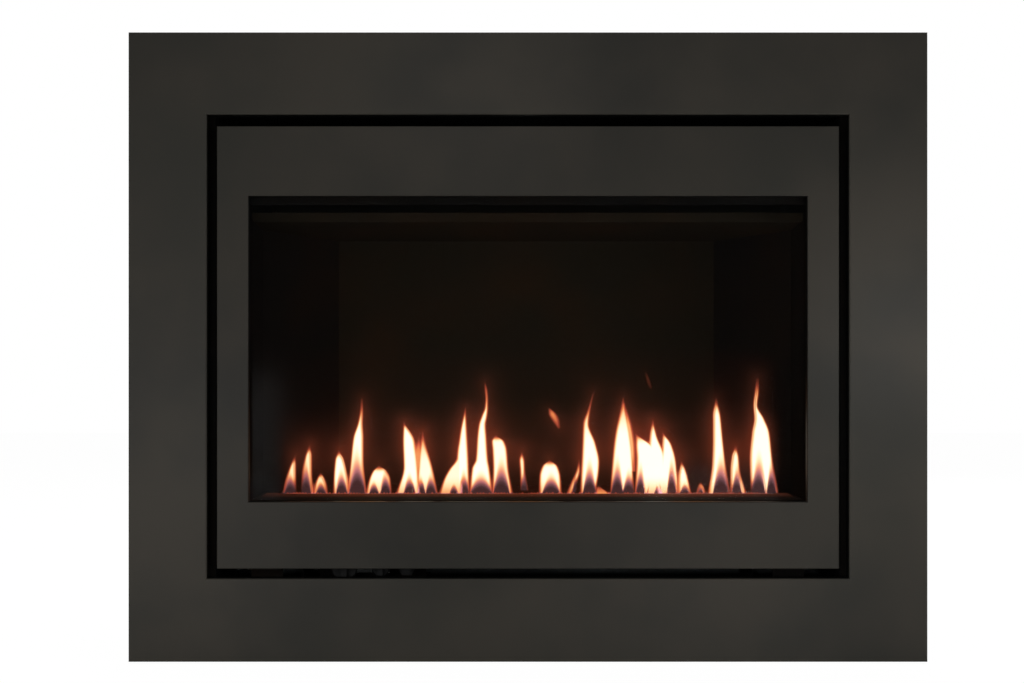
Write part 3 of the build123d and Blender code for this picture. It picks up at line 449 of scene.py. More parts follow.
@dataclass(frozen=True)
class TintedSteel(Finish):
    """Stainless sheet coloured by heat near the ports.

    The eye sees fine rolling lines, and straw, brown and blue bands that rise to the fire.
    The lines are drawn coarser than real ones, so that they show.
    """

    straw: str = "#8E6D3E"
    blue: str = "#3C4458"
    cool_level: float = 84.0
    hot_level: float = 112.0
    straw_share: float = 0.6
    wave: Patches = Patches(30.0, 3.0)
    wave_height: float = 12.0
    line: Patches = Patches(1.4, stretch=(1 / 30, 1.0, 1.0))
    line_depth: float = 0.01
    line_strength: float = 0.6
    span: tuple[float, float] = (-0.06, 0.08)

    def pattern(self, surface: Surface) -> None:
        """Bands the colour by height, waves the bands, and draws the rolling lines."""
        height = surface.add("ShaderNodeSeparateXYZ", {0: surface.place})
        lift = surface.add("ShaderNodeMath", {
            0: surface.patches(self.wave), 1: self.wave_height * MM, 2: height.outputs[2]},
            operation="MULTIPLY_ADD")
        heat = surface.add("ShaderNodeMapRange", {
            "Value": lift.outputs[0], "From Min": self.cool_level * MM,
            "From Max": self.hot_level * MM})
        first, second = [surface.add("ShaderNodeMapRange", {
            "Value": heat.outputs[0], end: self.straw_share}, interpolation_type="SMOOTHSTEP")
            for end in ("From Max", "From Min")]
        straw = surface.blend(first.outputs[0], self.colour, self.straw)
        surface.feed("Base Color", surface.blend(second.outputs[0], straw, self.blue))
        lines = surface.patches(self.line)
        surface.vary_roughness(lines, self)
        surface.relief(lines, self.line_depth, self.line_strength)


@dataclass(frozen=True)
class BareMetal(Finish):
    """Turned, drawn or cast metal left bare: brass, copper, die-cast alloy or magnet.

    The eye sees the metal's own colour under patches of darker tarnish, and its tool grain.
    """

    tarnish: str = "#7A5E30"
    patch: Patches = Patches(16.0, 4.0, 0.4667, 0.9)
    grain: Patches = Patches(0.8)
    grain_depth: float = 0.015
    span: tuple[float, float] = (0.0, 0.25)

    def pattern(self, surface: Surface) -> None:
        """Spreads tarnish over a share of the metal and roughens it there."""
        dull = surface.patches(self.patch)
        surface.feed("Base Color", surface.blend(dull, self.colour, self.tarnish))
        surface.vary_roughness(dull, self)
        surface.relief(surface.patches(self.grain), self.grain_depth)


@dataclass(frozen=True)
class Moulded(Finish):
    """Moulded plastic, sooted ceramic or silicone rubber.

    The eye sees one even colour, a fine mould texture and a faint film of handling.
    """

    film: str = "#161514"
    smear: Patches = Patches(11.0, 3.0, 0.5, 0.85)
    texture: Patches = Patches(0.5, 1.0)
    texture_depth: float = 0.01
    span: tuple[float, float] = (0.0, 0.12)

    def pattern(self, surface: Surface) -> None:
        """Lays the film over the colour and the mould's texture under it."""
        film = surface.patches(self.smear)
        surface.feed("Base Color", surface.blend(film, self.colour, self.film))
        surface.vary_roughness(film, self)
        surface.relief(surface.patches(self.texture), self.texture_depth)


@dataclass(frozen=True)
class WovenSeal(Finish):
    """Flat woven glass-fibre seal.

    The eye sees off-white yarns crossing over and under, with darker gaps between them. They
    are drawn coarser than real yarns, so that they show. wave_turn is Blender's wave scale at
    which one wave fills one unit.
    """

    gap: str = "#6E675B"
    pitch: float = 10.05
    wave_turn: float = math.pi / 10
    wander: float = 0.6
    fibre_scale: float = 2.0
    yarn_depth: float = 0.3

    def pattern(self, surface: Surface) -> None:
        """Crosses two sets of waves at the yarns' pitch."""
        sets = [surface.add("ShaderNodeTexWave", {
            "Vector": surface.place, "Scale": per_size(self.pitch) * self.wave_turn,
            "Distortion": self.wander, "Detail Scale": self.fibre_scale},
            bands_direction=axis, wave_profile="SIN") for axis in "XZ"]
        weave = surface.add("ShaderNodeMath", {
            0: sets[0].outputs[1], 1: sets[1].outputs[1]}, operation="MULTIPLY")
        surface.feed("Base Color", surface.blend(weave.outputs[0], self.gap, self.colour))
        surface.relief(weave.outputs[0], self.yarn_depth)


@dataclass(frozen=True)
class StoveGlass(Finish):
    """Clear glass-ceramic that keeps the fire from the room.

    The eye sees almost nothing of it but a thin gloss.
    """

    opacity: float = 0.015
    haze: Patches = Patches(90.0)

    def pattern(self, surface: Surface) -> None:
        """Makes the pane see-through, with a gloss that haze dulls in places."""
        surface.shader.inputs["Alpha"].default_value = self.opacity
        surface.vary_roughness(surface.patches(self.haze), self)


@dataclass(frozen=True)
class BurningGas(Finish):
    """Burning natural gas, yellow with glowing soot.

    The eye sees a white-yellow heart, a thin orange rim and a dim purple-brown foot. The piece
    states its own heat from 0 to 1 at each point, and both colour and density follow it.
    """

    heats: tuple[tuple[float, str, float], ...] = (
        (0.00, "#FF8A64", 0.0),
        (0.05, "#FF7450", 0.046),
        (0.12, "#FF6850", 0.11),
        (0.22, "#E46C48", 0.32),
        (0.34, "#F08C50", 0.64),
        (0.46, "#FFB478", 0.9),
        (0.58, "#FFD8A0", 1.0),
        (0.72, "#FFF2C0", 1.0),
        (0.86, "#FFFCDC", 1.0),
        (1.00, "#FFFFF6", 1.0),
    )
    attribute: str = "burn_heat"
    strength: float = 1.06
    cool_attribute: str = "unburnt"
    cool: str = "#FFB8C8"
    cool_density: float = 0.016

    def pattern(self, surface: Surface) -> None:
        """Reads the heat and turns it to glow and density, with a mauve trace where the gas
        hasn't caught yet."""
        heat = surface.add("ShaderNodeAttribute", attribute_name=self.attribute)
        ramp = surface.add("ShaderNodeValToRGB", {0: heat.outputs["Fac"]})
        stops = ramp.color_ramp.elements
        while len(stops) < len(self.heats):
            stops.new(1.0)
        for stop, (position, code, density) in zip(stops, self.heats):
            stop.position = position
            stop.color = srgb(code, density)
        unburnt = surface.add("ShaderNodeAttribute", attribute_name=self.cool_attribute)
        share = unburnt.outputs["Fac"]
        surface.feed("Emission Color", surface.blend(share, ramp.outputs["Color"], self.cool))
        density = surface.add("ShaderNodeMath", {
            0: share, 1: self.cool_density, 2: ramp.outputs["Alpha"]}, operation="MULTIPLY_ADD")
        surface.feed("Alpha", density.outputs[0])
        surface.shader.inputs["Emission Strength"].default_value = self.strength


TRIM = PowderCoat("satin powder coated steel", "#2D2C28", 0.5, specular=0.07)
ZINC = ZincCoat("hot-dip galvanised steel", "#A9AEB0", 0.42, metallic=1.0)
SPIGOT = ZincCoat("aluminised steel", "#B5B6B4", 0.38, metallic=1.0, shade="#8C8D8B",
                  spangle=4.0)
# The casing's zinc, with painted shade inside its room end.
CASING = ZincWithPaintedShade("galvanised steel with painted shade inside", "#A9AEB0", 0.42, metallic=1.0,
                     specular=0.05)
STOVE = HeatPaint("matt stove paint", "#090807", 0.75, specular=0.02)
LINER = HeatPaint("matt liner paint", "#0D0A08", 0.7, specular=0.0, scorched="#140D08",
                  dust="#120F0C")
# A lighter copy of the liner paint, as painted firelight on the back panel and baffle.
FIRELIT_LINER = HeatPaint("lighter liner paint as painted firelight", "#17130D", 0.7, specular=0.0,
                        scorched="#20160D", dust="#1B1711")
HEARTH = BakedAndFirelitPaint("matt hearth paint", "#0D0A08", 0.85, specular=0.015, scorched="#140C08",
                    dust="#14100D")
BURNER_STEEL = TintedSteel("heat tinted stainless steel", "#8E8B86", 0.35, metallic=1.0)
FIXING_STEEL = ZincCoat("bright zinc plated steel", "#BFC3C4", 0.3, metallic=1.0, spangle=3.0)
BRASS = BareMetal("turned brass", "#C9A052", 0.3, metallic=1.0)
COPPER = BareMetal("drawn copper tube", "#C0714C", 0.32, metallic=1.0, tarnish="#6B3F2A")
ALLOY = BareMetal("die-cast aluminium alloy", "#A6A8A8", 0.5, metallic=1.0,
                  tarnish="#7C7E7F", grain_depth=0.05)
MAGNET = BareMetal("nickel plated magnet", "#8F8E8A", 0.3, metallic=1.0, tarnish="#55534F")
PLASTIC = Moulded("moulded glass-filled nylon", "#0E0E0E", 0.6, specular=0.1)
CERAMIC = Moulded("sooted alumina ceramic", "#5A544B", 0.4, specular=0.2, film="#1E1A17",
                  texture_depth=0.004)
SOOTED = BareMetal("sooted steel", "#242120", 0.7, metallic=1.0, tarnish="#0E0C0B")
SILICONE = Moulded("silicone rubber sleeve", "#8E2A1C", 0.5, film="#5C211A")
SEAL = WovenSeal("woven glass-fibre seal", "#CFCABD", 0.95, specular=0.1)
GLASS = StoveGlass("clear glass-ceramic", "#0E1210", 0.04)
GAS = BurningGas("burning gas", "#000000", 1.0, specular=0.0)


# ------------------------------------------------------------------ geometry trees

def start_tree(name: str, sockets: dict[str, str]) -> tuple[bpy.types.GeometryNodeTree,
                                                            bpy.types.NodeOutputs]:
    """Starts a tree that takes values and a material by name and gives geometry.

    Args:
        name: name of the tree.
        sockets: kind of each value that it takes, by the value's name.

    Returns:
        The tree and what it is given.
    """
    tree = bpy.data.node_groups.new(name, "GeometryNodeTree")
    for label, kind in {**sockets, "Material": "Material"}.items():
        tree.interface.new_socket(label, in_out="INPUT", socket_type="NodeSocket" + kind)
    tree.interface.new_socket("Geometry", in_out="OUTPUT", socket_type="NodeSocketGeometry")
    return tree, tree.nodes.new("NodeGroupInput").outputs


def end_tree(tree: bpy.types.GeometryNodeTree, material: bpy.types.NodeSocket,
             placing: dict[str, bpy.types.NodeSocket]) -> None:
    """Ends a tree by setting a shape on each of its points, as real and coated geometry.

    Args:
        tree: the tree.
        material: the material's socket.
        placing: the points, the shape and how it is turned or scaled, by the name of the input.
    """
    placed = add_node(tree, "GeometryNodeInstanceOnPoints", placing)
    real = add_node(tree, "GeometryNodeRealizeInstances", {"Geometry": placed.outputs[0]})
    coated = add_node(tree, "GeometryNodeSetMaterial", {
        "Geometry": real.outputs[0], "Material": material})
    add_node(tree, "NodeGroupOutput", {"Geometry": coated.outputs[0]})


def run_tree(carrier: bpy.types.Object, tree: bpy.types.GeometryNodeTree,
             values: dict[str, object]) -> bpy.types.Mesh:
    """Runs a geometry tree on an object and gives its result as a plain mesh.

    Args:
        carrier: object that holds the points or nothing, which is removed at the end.
        tree: the tree.
        values: a value for each named input.

    Returns:
        The mesh that the tree makes.
    """
    bpy.context.scene.collection.objects.link(carrier)
    modifier = carrier.modifiers.new(tree.name, "NODES")
    modifier.node_group = tree
    for item in tree.interface.items_tree:
        if item.in_out == "INPUT" and item.name in values:
            modifier[item.identifier] = values[item.name]
    graph = bpy.context.evaluated_depsgraph_get()
    mesh = bpy.data.meshes.new_from_object(carrier.evaluated_get(graph), depsgraph=graph)
    carrier.modifiers.remove(modifier)
    bpy.data.objects.remove(carrier)
    if mesh.materials[0] is None:
        mesh.materials.pop(index=0)
    return mesh


# ------------------------------------------------------------------ fixings

class Head(Enum):
    """The kinds of fastener head: radius, height and depth of the recess in millimetres, and
    whether the recess is a cross and not a round hole."""

    PAN_SCREW = (3.9, 1.9, 1.1, True)
    SMALL_SCREW = (2.5, 1.4, 0.8, True)
    BLIND_RIVET = (3.2, 1.0, 0.5, False)


@dataclass
class FixingTree:
    """Geometry tree that sets a fastener head on each point, turned to the point's facing.

    The shares are of the head's radius.
    """

    name: str = "fastener_heads"
    sides: int = 14
    top_share: float = 0.72
    arm_length: float = 1.15
    arm_width: float = 0.26
    hole_share: float = 0.36
    seed: int = 7

    def build(self) -> bpy.types.GeometryNodeTree:
        """Builds the tree once.

        Returns:
            The tree, with Radius, Height, Recess, Cross and Material as its inputs.
        """
        made = bpy.data.node_groups.get(self.name)
        if made:
            return made
        tree, given = start_tree(self.name, {
            "Geometry": "Geometry", "Radius": "Float", "Height": "Float", "Recess": "Float",
            "Cross": "Bool"})
        top, *sizes = [add_node(tree, "ShaderNodeMath", {
            0: given["Radius"], 1: share}, operation="MULTIPLY").outputs[0]
            for share in (self.top_share, self.arm_length, self.arm_width, self.hole_share)]
        head = add_node(tree, "GeometryNodeMeshCone", {
            "Vertices": self.sides, "Radius Top": top, "Radius Bottom": given["Radius"],
            "Depth": given["Height"]})
        cut = add_node(tree, "GeometryNodeMeshBoolean", {
            "Mesh 1": head.outputs["Mesh"], "Mesh 2": self.recess(tree, given, *sizes)},
            operation="DIFFERENCE", solver="EXACT")
        facing = add_node(tree, "GeometryNodeInputNamedAttribute", {"Name": "facing"},
                          data_type="FLOAT_VECTOR")
        turned = add_node(tree, "FunctionNodeAlignRotationToVector", {
            "Vector": facing.outputs[0]}, axis="Z")
        spin = add_node(tree, "FunctionNodeRandomValue", {
            2: 0.0, 3: math.pi / 2, "Seed": self.seed}, data_type="FLOAT")
        about = add_node(tree, "FunctionNodeAxisAngleToRotation", {
            "Axis": tuple(UP), "Angle": spin.outputs[1]})
        both = add_node(tree, "FunctionNodeRotateRotation", {
            0: turned.outputs[0], 1: about.outputs[0]}, rotation_space="LOCAL")
        end_tree(tree, given["Material"], {
            "Points": given["Geometry"], "Instance": cut.outputs[0],
            "Rotation": both.outputs[0]})
        return tree

    def recess(self, tree: bpy.types.GeometryNodeTree, given: bpy.types.NodeOutputs,
               length: bpy.types.NodeSocket, width: bpy.types.NodeSocket,
               hole_radius: bpy.types.NodeSocket) -> bpy.types.NodeSocket:
        """Makes the cross or the round hole that is sunk in the head.

        Args:
            tree: tree that takes the nodes.
            given: the tree's own inputs.
            length: length of an arm of the cross.
            width: width of an arm.
            hole_radius: radius of the round hole.

        Returns:
            The recess as geometry.
        """
        deep = add_node(tree, "ShaderNodeMath", {0: given["Recess"], 1: 2.0},
                        operation="MULTIPLY").outputs[0]
        cross = add_node(tree, "GeometryNodeMeshBoolean", operation="UNION", solver="EXACT")
        for across, along in ((length, width), (width, length)):
            size = add_node(tree, "ShaderNodeCombineXYZ", {0: across, 1: along, 2: deep})
            arm = add_node(tree, "GeometryNodeMeshCube", {"Size": size.outputs[0]})
            tree.links.new(arm.outputs["Mesh"], cross.inputs["Mesh 2"])
        hole = add_node(tree, "GeometryNodeMeshCylinder", {
            "Vertices": self.sides, "Radius": hole_radius, "Depth": deep})
        choice = add_node(tree, "GeometryNodeSwitch", {
            "Switch": given["Cross"], "False": hole.outputs["Mesh"], "True": cross.outputs[0]},
            input_type="GEOMETRY")
        lift = add_node(tree, "ShaderNodeCombineXYZ", {2: given["Height"]})
        moved = add_node(tree, "GeometryNodeTransform", {
            "Geometry": choice.outputs[0], "Translation": lift.outputs[0]})
        return moved.outputs[0]


@dataclass
class Fixings:
    """A set of fastener heads of one kind on one body."""

    name: str
    body: str
    slot: str
    head: Head
    finish: Finish
    points: list[tuple[Vector, Vector]] = field(default_factory=list)

    def row(self, start: Vector, end: Vector, count: int, facing: Vector) -> None:
        """Adds a straight row of heads.

        Args:
            start: place of the first head.
            end: place of the last head.
            count: how many heads, at least two.
            facing: way that the heads look.
        """
        for k in range(count):
            self.points.append((start.lerp(end, k / (count - 1)), facing))

    def build(self) -> None:
        """Runs the tree over the points and keeps the result as one plain mesh."""
        spots = bpy.data.meshes.new(self.name + "_points")
        spots.from_pydata([place for place, _ in self.points], [], [])
        facing = spots.attributes.new("facing", "FLOAT_VECTOR", "POINT")
        facing.data.foreach_set("vector", [v for _, way in self.points for v in way])
        carrier = bpy.data.objects.new(self.name + "_points", spots)
        radius, height, recess, cross = self.head.value
        mesh = run_tree(carrier, FixingTree().build(), {
            "Radius": radius * MM, "Height": height * MM, "Recess": recess * MM,
            "Cross": cross, "Material": self.finish.material()})
        new_piece(self.name, mesh, self.body)


# ------------------------------------------------------------------ sub-assemblies

@dataclass
class Trims:
    """The surround with its straps and magnets, and the fascia inside it."""

    strap_width: float = 18.0
    strap_span: float = 44.0
    strap_toe: float = 12.0
    strap_sheet: float = 1.5

    def build(self) -> None:
        """Dresses both trims and rivets each strap's toes to the surround's back."""
        dress(TRIM, ("surround", "fascia"))
        dress(ZINC, ("surround_straps",))
        dress(MAGNET, ("surround_magnets", "magnet_posts"))
        low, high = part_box("surround_straps")
        rivets = Fixings("strap_rivets", "surround", "zinc_steel", Head.BLIND_RIVET,
                         FIXING_STEEL)
        x = high.x - self.strap_width / 2 * MM
        near, far = self.strap_toe / 2 * MM, (self.strap_toe * 1.5 + self.strap_span) * MM
        for side in (-1, 1):
            for z in (low.z + near, low.z + far, high.z - far, high.z - near):
                place = Vector((side * x, low.y + self.strap_sheet * MM, z))
                rivets.points.append((place, INTO_WALL))
        rivets.build()


@dataclass
class Casing:
    """The zinc coated casing, its flange and brackets, and the screws that hold it."""

    edge: float = 9.0
    side_count: int = 7
    top_count: int = 9
    side_depth_count: int = 4
    end_margin: float = 26.0

    def build(self) -> None:
        """Dresses the sheets and sets the screws along their edges."""
        # The casing sheets and rails get painted shade at the room end, where the gap round the
        # fascia looks in.
        dress(CASING, ("casing_wrap", "casing_back", "casing_top", "support_rails"))
        dress(STOVE, ("fixing_flange", "magnet_angles", "shelf_brackets"))
        low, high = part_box("casing_wrap")
        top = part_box("casing_top")[1].z
        edge, end = self.edge * MM, self.end_margin * MM
        screws = Fixings("casing_screws", "insert", "zinc_steel", Head.PAN_SCREW, FIXING_STEEL)
        for x, facing in ((low.x, LEFT), (high.x, RIGHT)):
            screws.row(Vector((x, high.y - edge, low.z + end)),
                       Vector((x, high.y - edge, top - end)), self.side_count, facing)
            inner = x - facing.x * edge
            screws.row(Vector((inner, low.y + 2 * end, top)), Vector((inner, high.y - end, top)),
                       self.side_depth_count, UP)
        screws.row(Vector((low.x + 2 * end, high.y - edge, top)),
                   Vector((high.x - 2 * end, high.y - edge, top)), self.top_count, UP)
        screws.build()


@dataclass
class Firebox:
    """The black firebox, its liner and hearth, and the screws of its front plate."""

    edge: float = 5.5
    side_levels: tuple[float, ...] = (78.0, 230.0, 380.0, 522.0)
    row_level: float = 527.0
    row_span: float = 300.0
    row_count: int = 5

    def build(self) -> None:
        """Dresses the sheets and sets the front plate's screws."""
        dress(STOVE, ("firebox_wrap", "firebox_back", "firebox_top", "firebox_front",
                      "glass_frame"))
        # The hearth's red-brown near the ports is partly painted firelight.
        dress(HEARTH, ("hearth_plate",))
        dress(LINER, ("side_panel_left", "side_panel_right"))
        # The back panel and baffle take the lighter copy of the liner paint as painted
        # firelight.
        dress(FIRELIT_LINER, ("back_panel", "baffle"))
        low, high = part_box("firebox_front")
        screws = Fixings("front_plate_screws", "insert", "stove_paint", Head.SMALL_SCREW, STOVE)
        for x in (low.x + self.edge * MM, high.x - self.edge * MM):
            for level in self.side_levels:
                screws.points.append((Vector((x, low.y, level * MM)), INTO_ROOM))
        screws.row(Vector((-self.row_span * MM, low.y, self.row_level * MM)),
                   Vector((self.row_span * MM, low.y, self.row_level * MM)),
                   self.row_count, INTO_ROOM)
        screws.build()


@dataclass
class GlassFront:
    """The pane, its seal and the four clips that turn over the glass frame."""

    def build(self) -> None:
        """Dresses the pane, the seal and the clips."""
        dress(GLASS, ("glass_pane",))
        dress(SEAL, ("glass_gasket",))
        dress(FIXING_STEEL, ("clip_studs", "clip_left_low", "clip_left_high",
                             "clip_right_low", "clip_right_high"))


@dataclass
class GasTrain:
    """The gas line from the inlet to the jet, the valve with its knobs, and the pilot."""

    cover_radius: float = 13.5
    cover_screws: int = 4
    cover_centre: tuple[float, float] = (-228.0, 139.0)

    def build(self) -> None:
        """Dresses the pieces and sets the screws of the valve's cover."""
        dress(BRASS, ("injector", "gland_nut", "inlet_fitting", "feed_elbow"))
        dress(COPPER, ("feed_pipe", "supply_pipe", "thermocouple_lead"))
        dress(ALLOY, ("gas_valve", "pilot_pipe"))
        dress(STOVE, ("valve_bracket",))
        dress(PLASTIC, ("control_knob", "flame_knob", "igniter_barrel", "igniter_button"))
        dress(CERAMIC, ("spark_electrode",))
        dress(SILICONE, ("ignition_lead",))
        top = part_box("gas_valve")[1].z
        screws = Fixings("valve_screws", "insert", "cast_alloy", Head.SMALL_SCREW, FIXING_STEEL)
        centre = Vector((self.cover_centre[0] * MM, self.cover_centre[1] * MM, top))
        for k in range(self.cover_screws):
            turn = 2 * math.pi * (k + 0.5) / self.cover_screws
            arm = Vector((math.cos(turn), math.sin(turn), 0)) * self.cover_radius * MM
            screws.points.append((centre + arm, UP))
        screws.build()


@dataclass
class Flue:
    """The two spigots on top, the air box under them and the restrictor."""

    edge: float = 8.0
    side_count: int = 3

    def build(self) -> None:
        """Dresses the flue's pieces and screws the air box down."""
        dress(SPIGOT, ("flue_outer", "flue_inner"))
        dress(ZINC, ("air_box",))
        dress(BURNER_STEEL, ("flue_restrictor",))
        low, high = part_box("air_box")
        edge = self.edge * MM
        screws = Fixings("air_box_screws", "insert", "zinc_steel", Head.PAN_SCREW, FIXING_STEEL)
        for x in (low.x + edge, high.x - edge):
            screws.row(Vector((x, low.y + edge, high.z)), Vector((x, high.y - edge, high.z)),
                       self.side_count, UP)
        screws.build()


@dataclass
class Burner:
    """The ribbon burner under the flames."""

    def build(self) -> None:
        """Dresses the burner and the pilot beside it."""
        dress(BURNER_STEEL, ("burner_body", "burner_crown", "mixing_tube", "burner_feet",
                             "control_spindle"))
        dress(SOOTED, ("pilot_plate", "pilot_burner", "thermocouple"))


# ------------------------------------------------------------------ the fire

@dataclass(frozen=True)
class FireLook:
    """How the tongues glow and how finely they are meshed, in millimetres and shares.

    The heat rises across the rim of a tongue and falls to tip_heat at its tip and foot_heat at
    its foot. Under an arch the gas is unburnt, up to arch_dark of the arch's height, and has
    caught at arch_bright. The painted glow round the tongues has a near and a far part, and is
    cut to dim_share low down and to calm_share high up.
    """

    rim_outside: float = 1.4
    rim_inside: float = 4.2
    margin: float = 3.2
    tip_slope: float = 0.45
    tip_heat: float = 0.4
    foot_start: float = -4.0
    foot_height: float = 26.0
    foot_heat: float = 0.44
    arch_dark: float = 0.3
    arch_bright: float = 1.5
    arch_least: float = 0.001
    cool_focus: float = 3.0
    # near_glow to calm_share shape the painted glow round the tongues.
    near_glow: float = 0.05
    near_reach: float = 9.0
    far_glow: float = 0.0022
    far_reach: float = 40.0
    dim_below: float = 14.0
    full_above: float = 66.0
    dim_share: float = 0.16
    calm_above: float = 84.0
    calm_full: float = 132.0
    calm_share: float = 0.35
    thickness: float = 7.0
    end_length: float = 4.0
    stagger: float = 3.5
    row_step: float = 1.8
    column_step: float = 0.9
    least_rows: int = 8
    least_columns: int = 12


@dataclass(frozen=True)
class Arch:
    """Dim arch at the foot of a tongue, where the gas hasn't caught yet, in millimetres."""

    x: float
    height: float
    half_width: float


@dataclass(frozen=True)
class Tongue:
    """One tongue of flame, in millimetres over the crown.

    outline holds a height and the left and right edge there, from the foot upwards, and tip
    holds x and height. fade is how far below the tip it is still orange.
    """

    outline: tuple[tuple[float, float, float], ...]
    tip: tuple[float, float]
    arches: tuple[Arch, ...] = ()
    glow: float = 1.0
    fade: float = 12.0

    @property
    def foot(self) -> float:
        """Height at which the tongue starts."""
        return self.outline[0][0]

    def edges(self, heights: np.ndarray) -> tuple[np.ndarray, np.ndarray]:
        """Left and right edge at some heights, on smooth curves through the outline.

        Args:
            heights: heights over the crown.

        Returns:
            The left edges and the right edges.
        """
        levels, left, right = np.array(
            [*self.outline, (self.tip[1], self.tip[0], self.tip[0])], float).T
        return smooth_through(levels, left, heights), smooth_through(levels, right, heights)

    def inside(self, x: np.ndarray, heights: np.ndarray, slope: float) -> np.ndarray:
        """How far points lie inside the outline, or outside it as a negative number.

        Args:
            x: places along the fire.
            heights: heights over the crown.
            slope: how bluntly the tongue closes at its tip.

        Returns:
            The distance at each point.
        """
        nearest = np.clip(heights, self.foot, self.tip[1])
        left, right = self.edges(nearest)
        across = np.minimum(x - left, right - x)
        up = np.abs(heights - nearest)
        closed = np.minimum(across, (self.tip[1] - heights) * slope)
        return np.where(up > 0, -np.hypot(np.maximum(0, -across), up), closed)

    def heat(self, x: np.ndarray, heights: np.ndarray, look: FireLook) -> np.ndarray:
        """Heat from 0 to 1 at points of the tongue.

        Args:
            x: places along the fire.
            heights: heights over the crown.
            look: how sharp the rims and how soft the arches are.

        Returns:
            The heat at each point.
        """
        deep = self.inside(x, heights, look.tip_slope)
        heat = self.glow * smooth_step(-look.rim_outside, look.rim_inside, deep)
        tip = smooth_step(0.0, self.fade, self.tip[1] - heights)
        heat *= look.tip_heat + (1 - look.tip_heat) * tip
        foot = smooth_step(look.foot_start, look.foot_height, heights - self.foot)
        heat *= look.foot_heat + (1 - look.foot_heat) * foot
        return heat * self.burnt(x, heights, look)

    def burnt(self, x: np.ndarray, heights: np.ndarray, look: FireLook) -> np.ndarray:
        """Share from 0 to 1 of gas that has caught, which is less under the tongue's arches.

        Args:
            x: places along the fire.
            heights: heights over the crown.
            look: how soft the arches are.

        Returns:
            The share at each point.
        """
        burnt = np.ones_like(x, float)
        for arch in self.arches:
            share = np.clip(1 - ((x - arch.x) / arch.half_width) ** 2, look.arch_least, 1)
            burnt *= smooth_step(look.arch_dark, look.arch_bright,
                                 heights / (arch.height * share))
        return burnt


def smooth_step(low: float, high: float, value: np.ndarray) -> np.ndarray:
    """Rises smoothly from 0 at low to 1 at high."""
    share = np.clip((value - low) / (high - low), 0.0, 1.0)
    return share * share * (3 - 2 * share)


def smooth_through(levels: np.ndarray, values: np.ndarray, where: np.ndarray) -> np.ndarray:
    """Curve through a few points that doesn't overshoot them.

    Args:
        levels: rising places of the points.
        values: values of the points.
        where: places to work out.

    Returns:
        The values there.
    """
    gaps = np.diff(levels)
    slopes = np.diff(values) / gaps
    lean = np.concatenate((slopes[:1], np.zeros(len(gaps) - 1), slopes[-1:]))
    for k in range(1, len(gaps)):
        if slopes[k - 1] * slopes[k] > 0:
            lean[k] = 2 * slopes[k - 1] * slopes[k] / (slopes[k - 1] + slopes[k])
    k = np.clip(np.searchsorted(levels, where) - 1, 0, len(gaps) - 1)
    t = np.clip((where - levels[k]) / gaps[k], 0.0, 1.0)
    return ((2 * t**3 - 3 * t**2 + 1) * values[k] + (t**3 - 2 * t**2 + t) * gaps[k] * lean[k]
            + (3 * t**2 - 2 * t**3) * values[k + 1] + (t**3 - t**2) * gaps[k] * lean[k + 1])


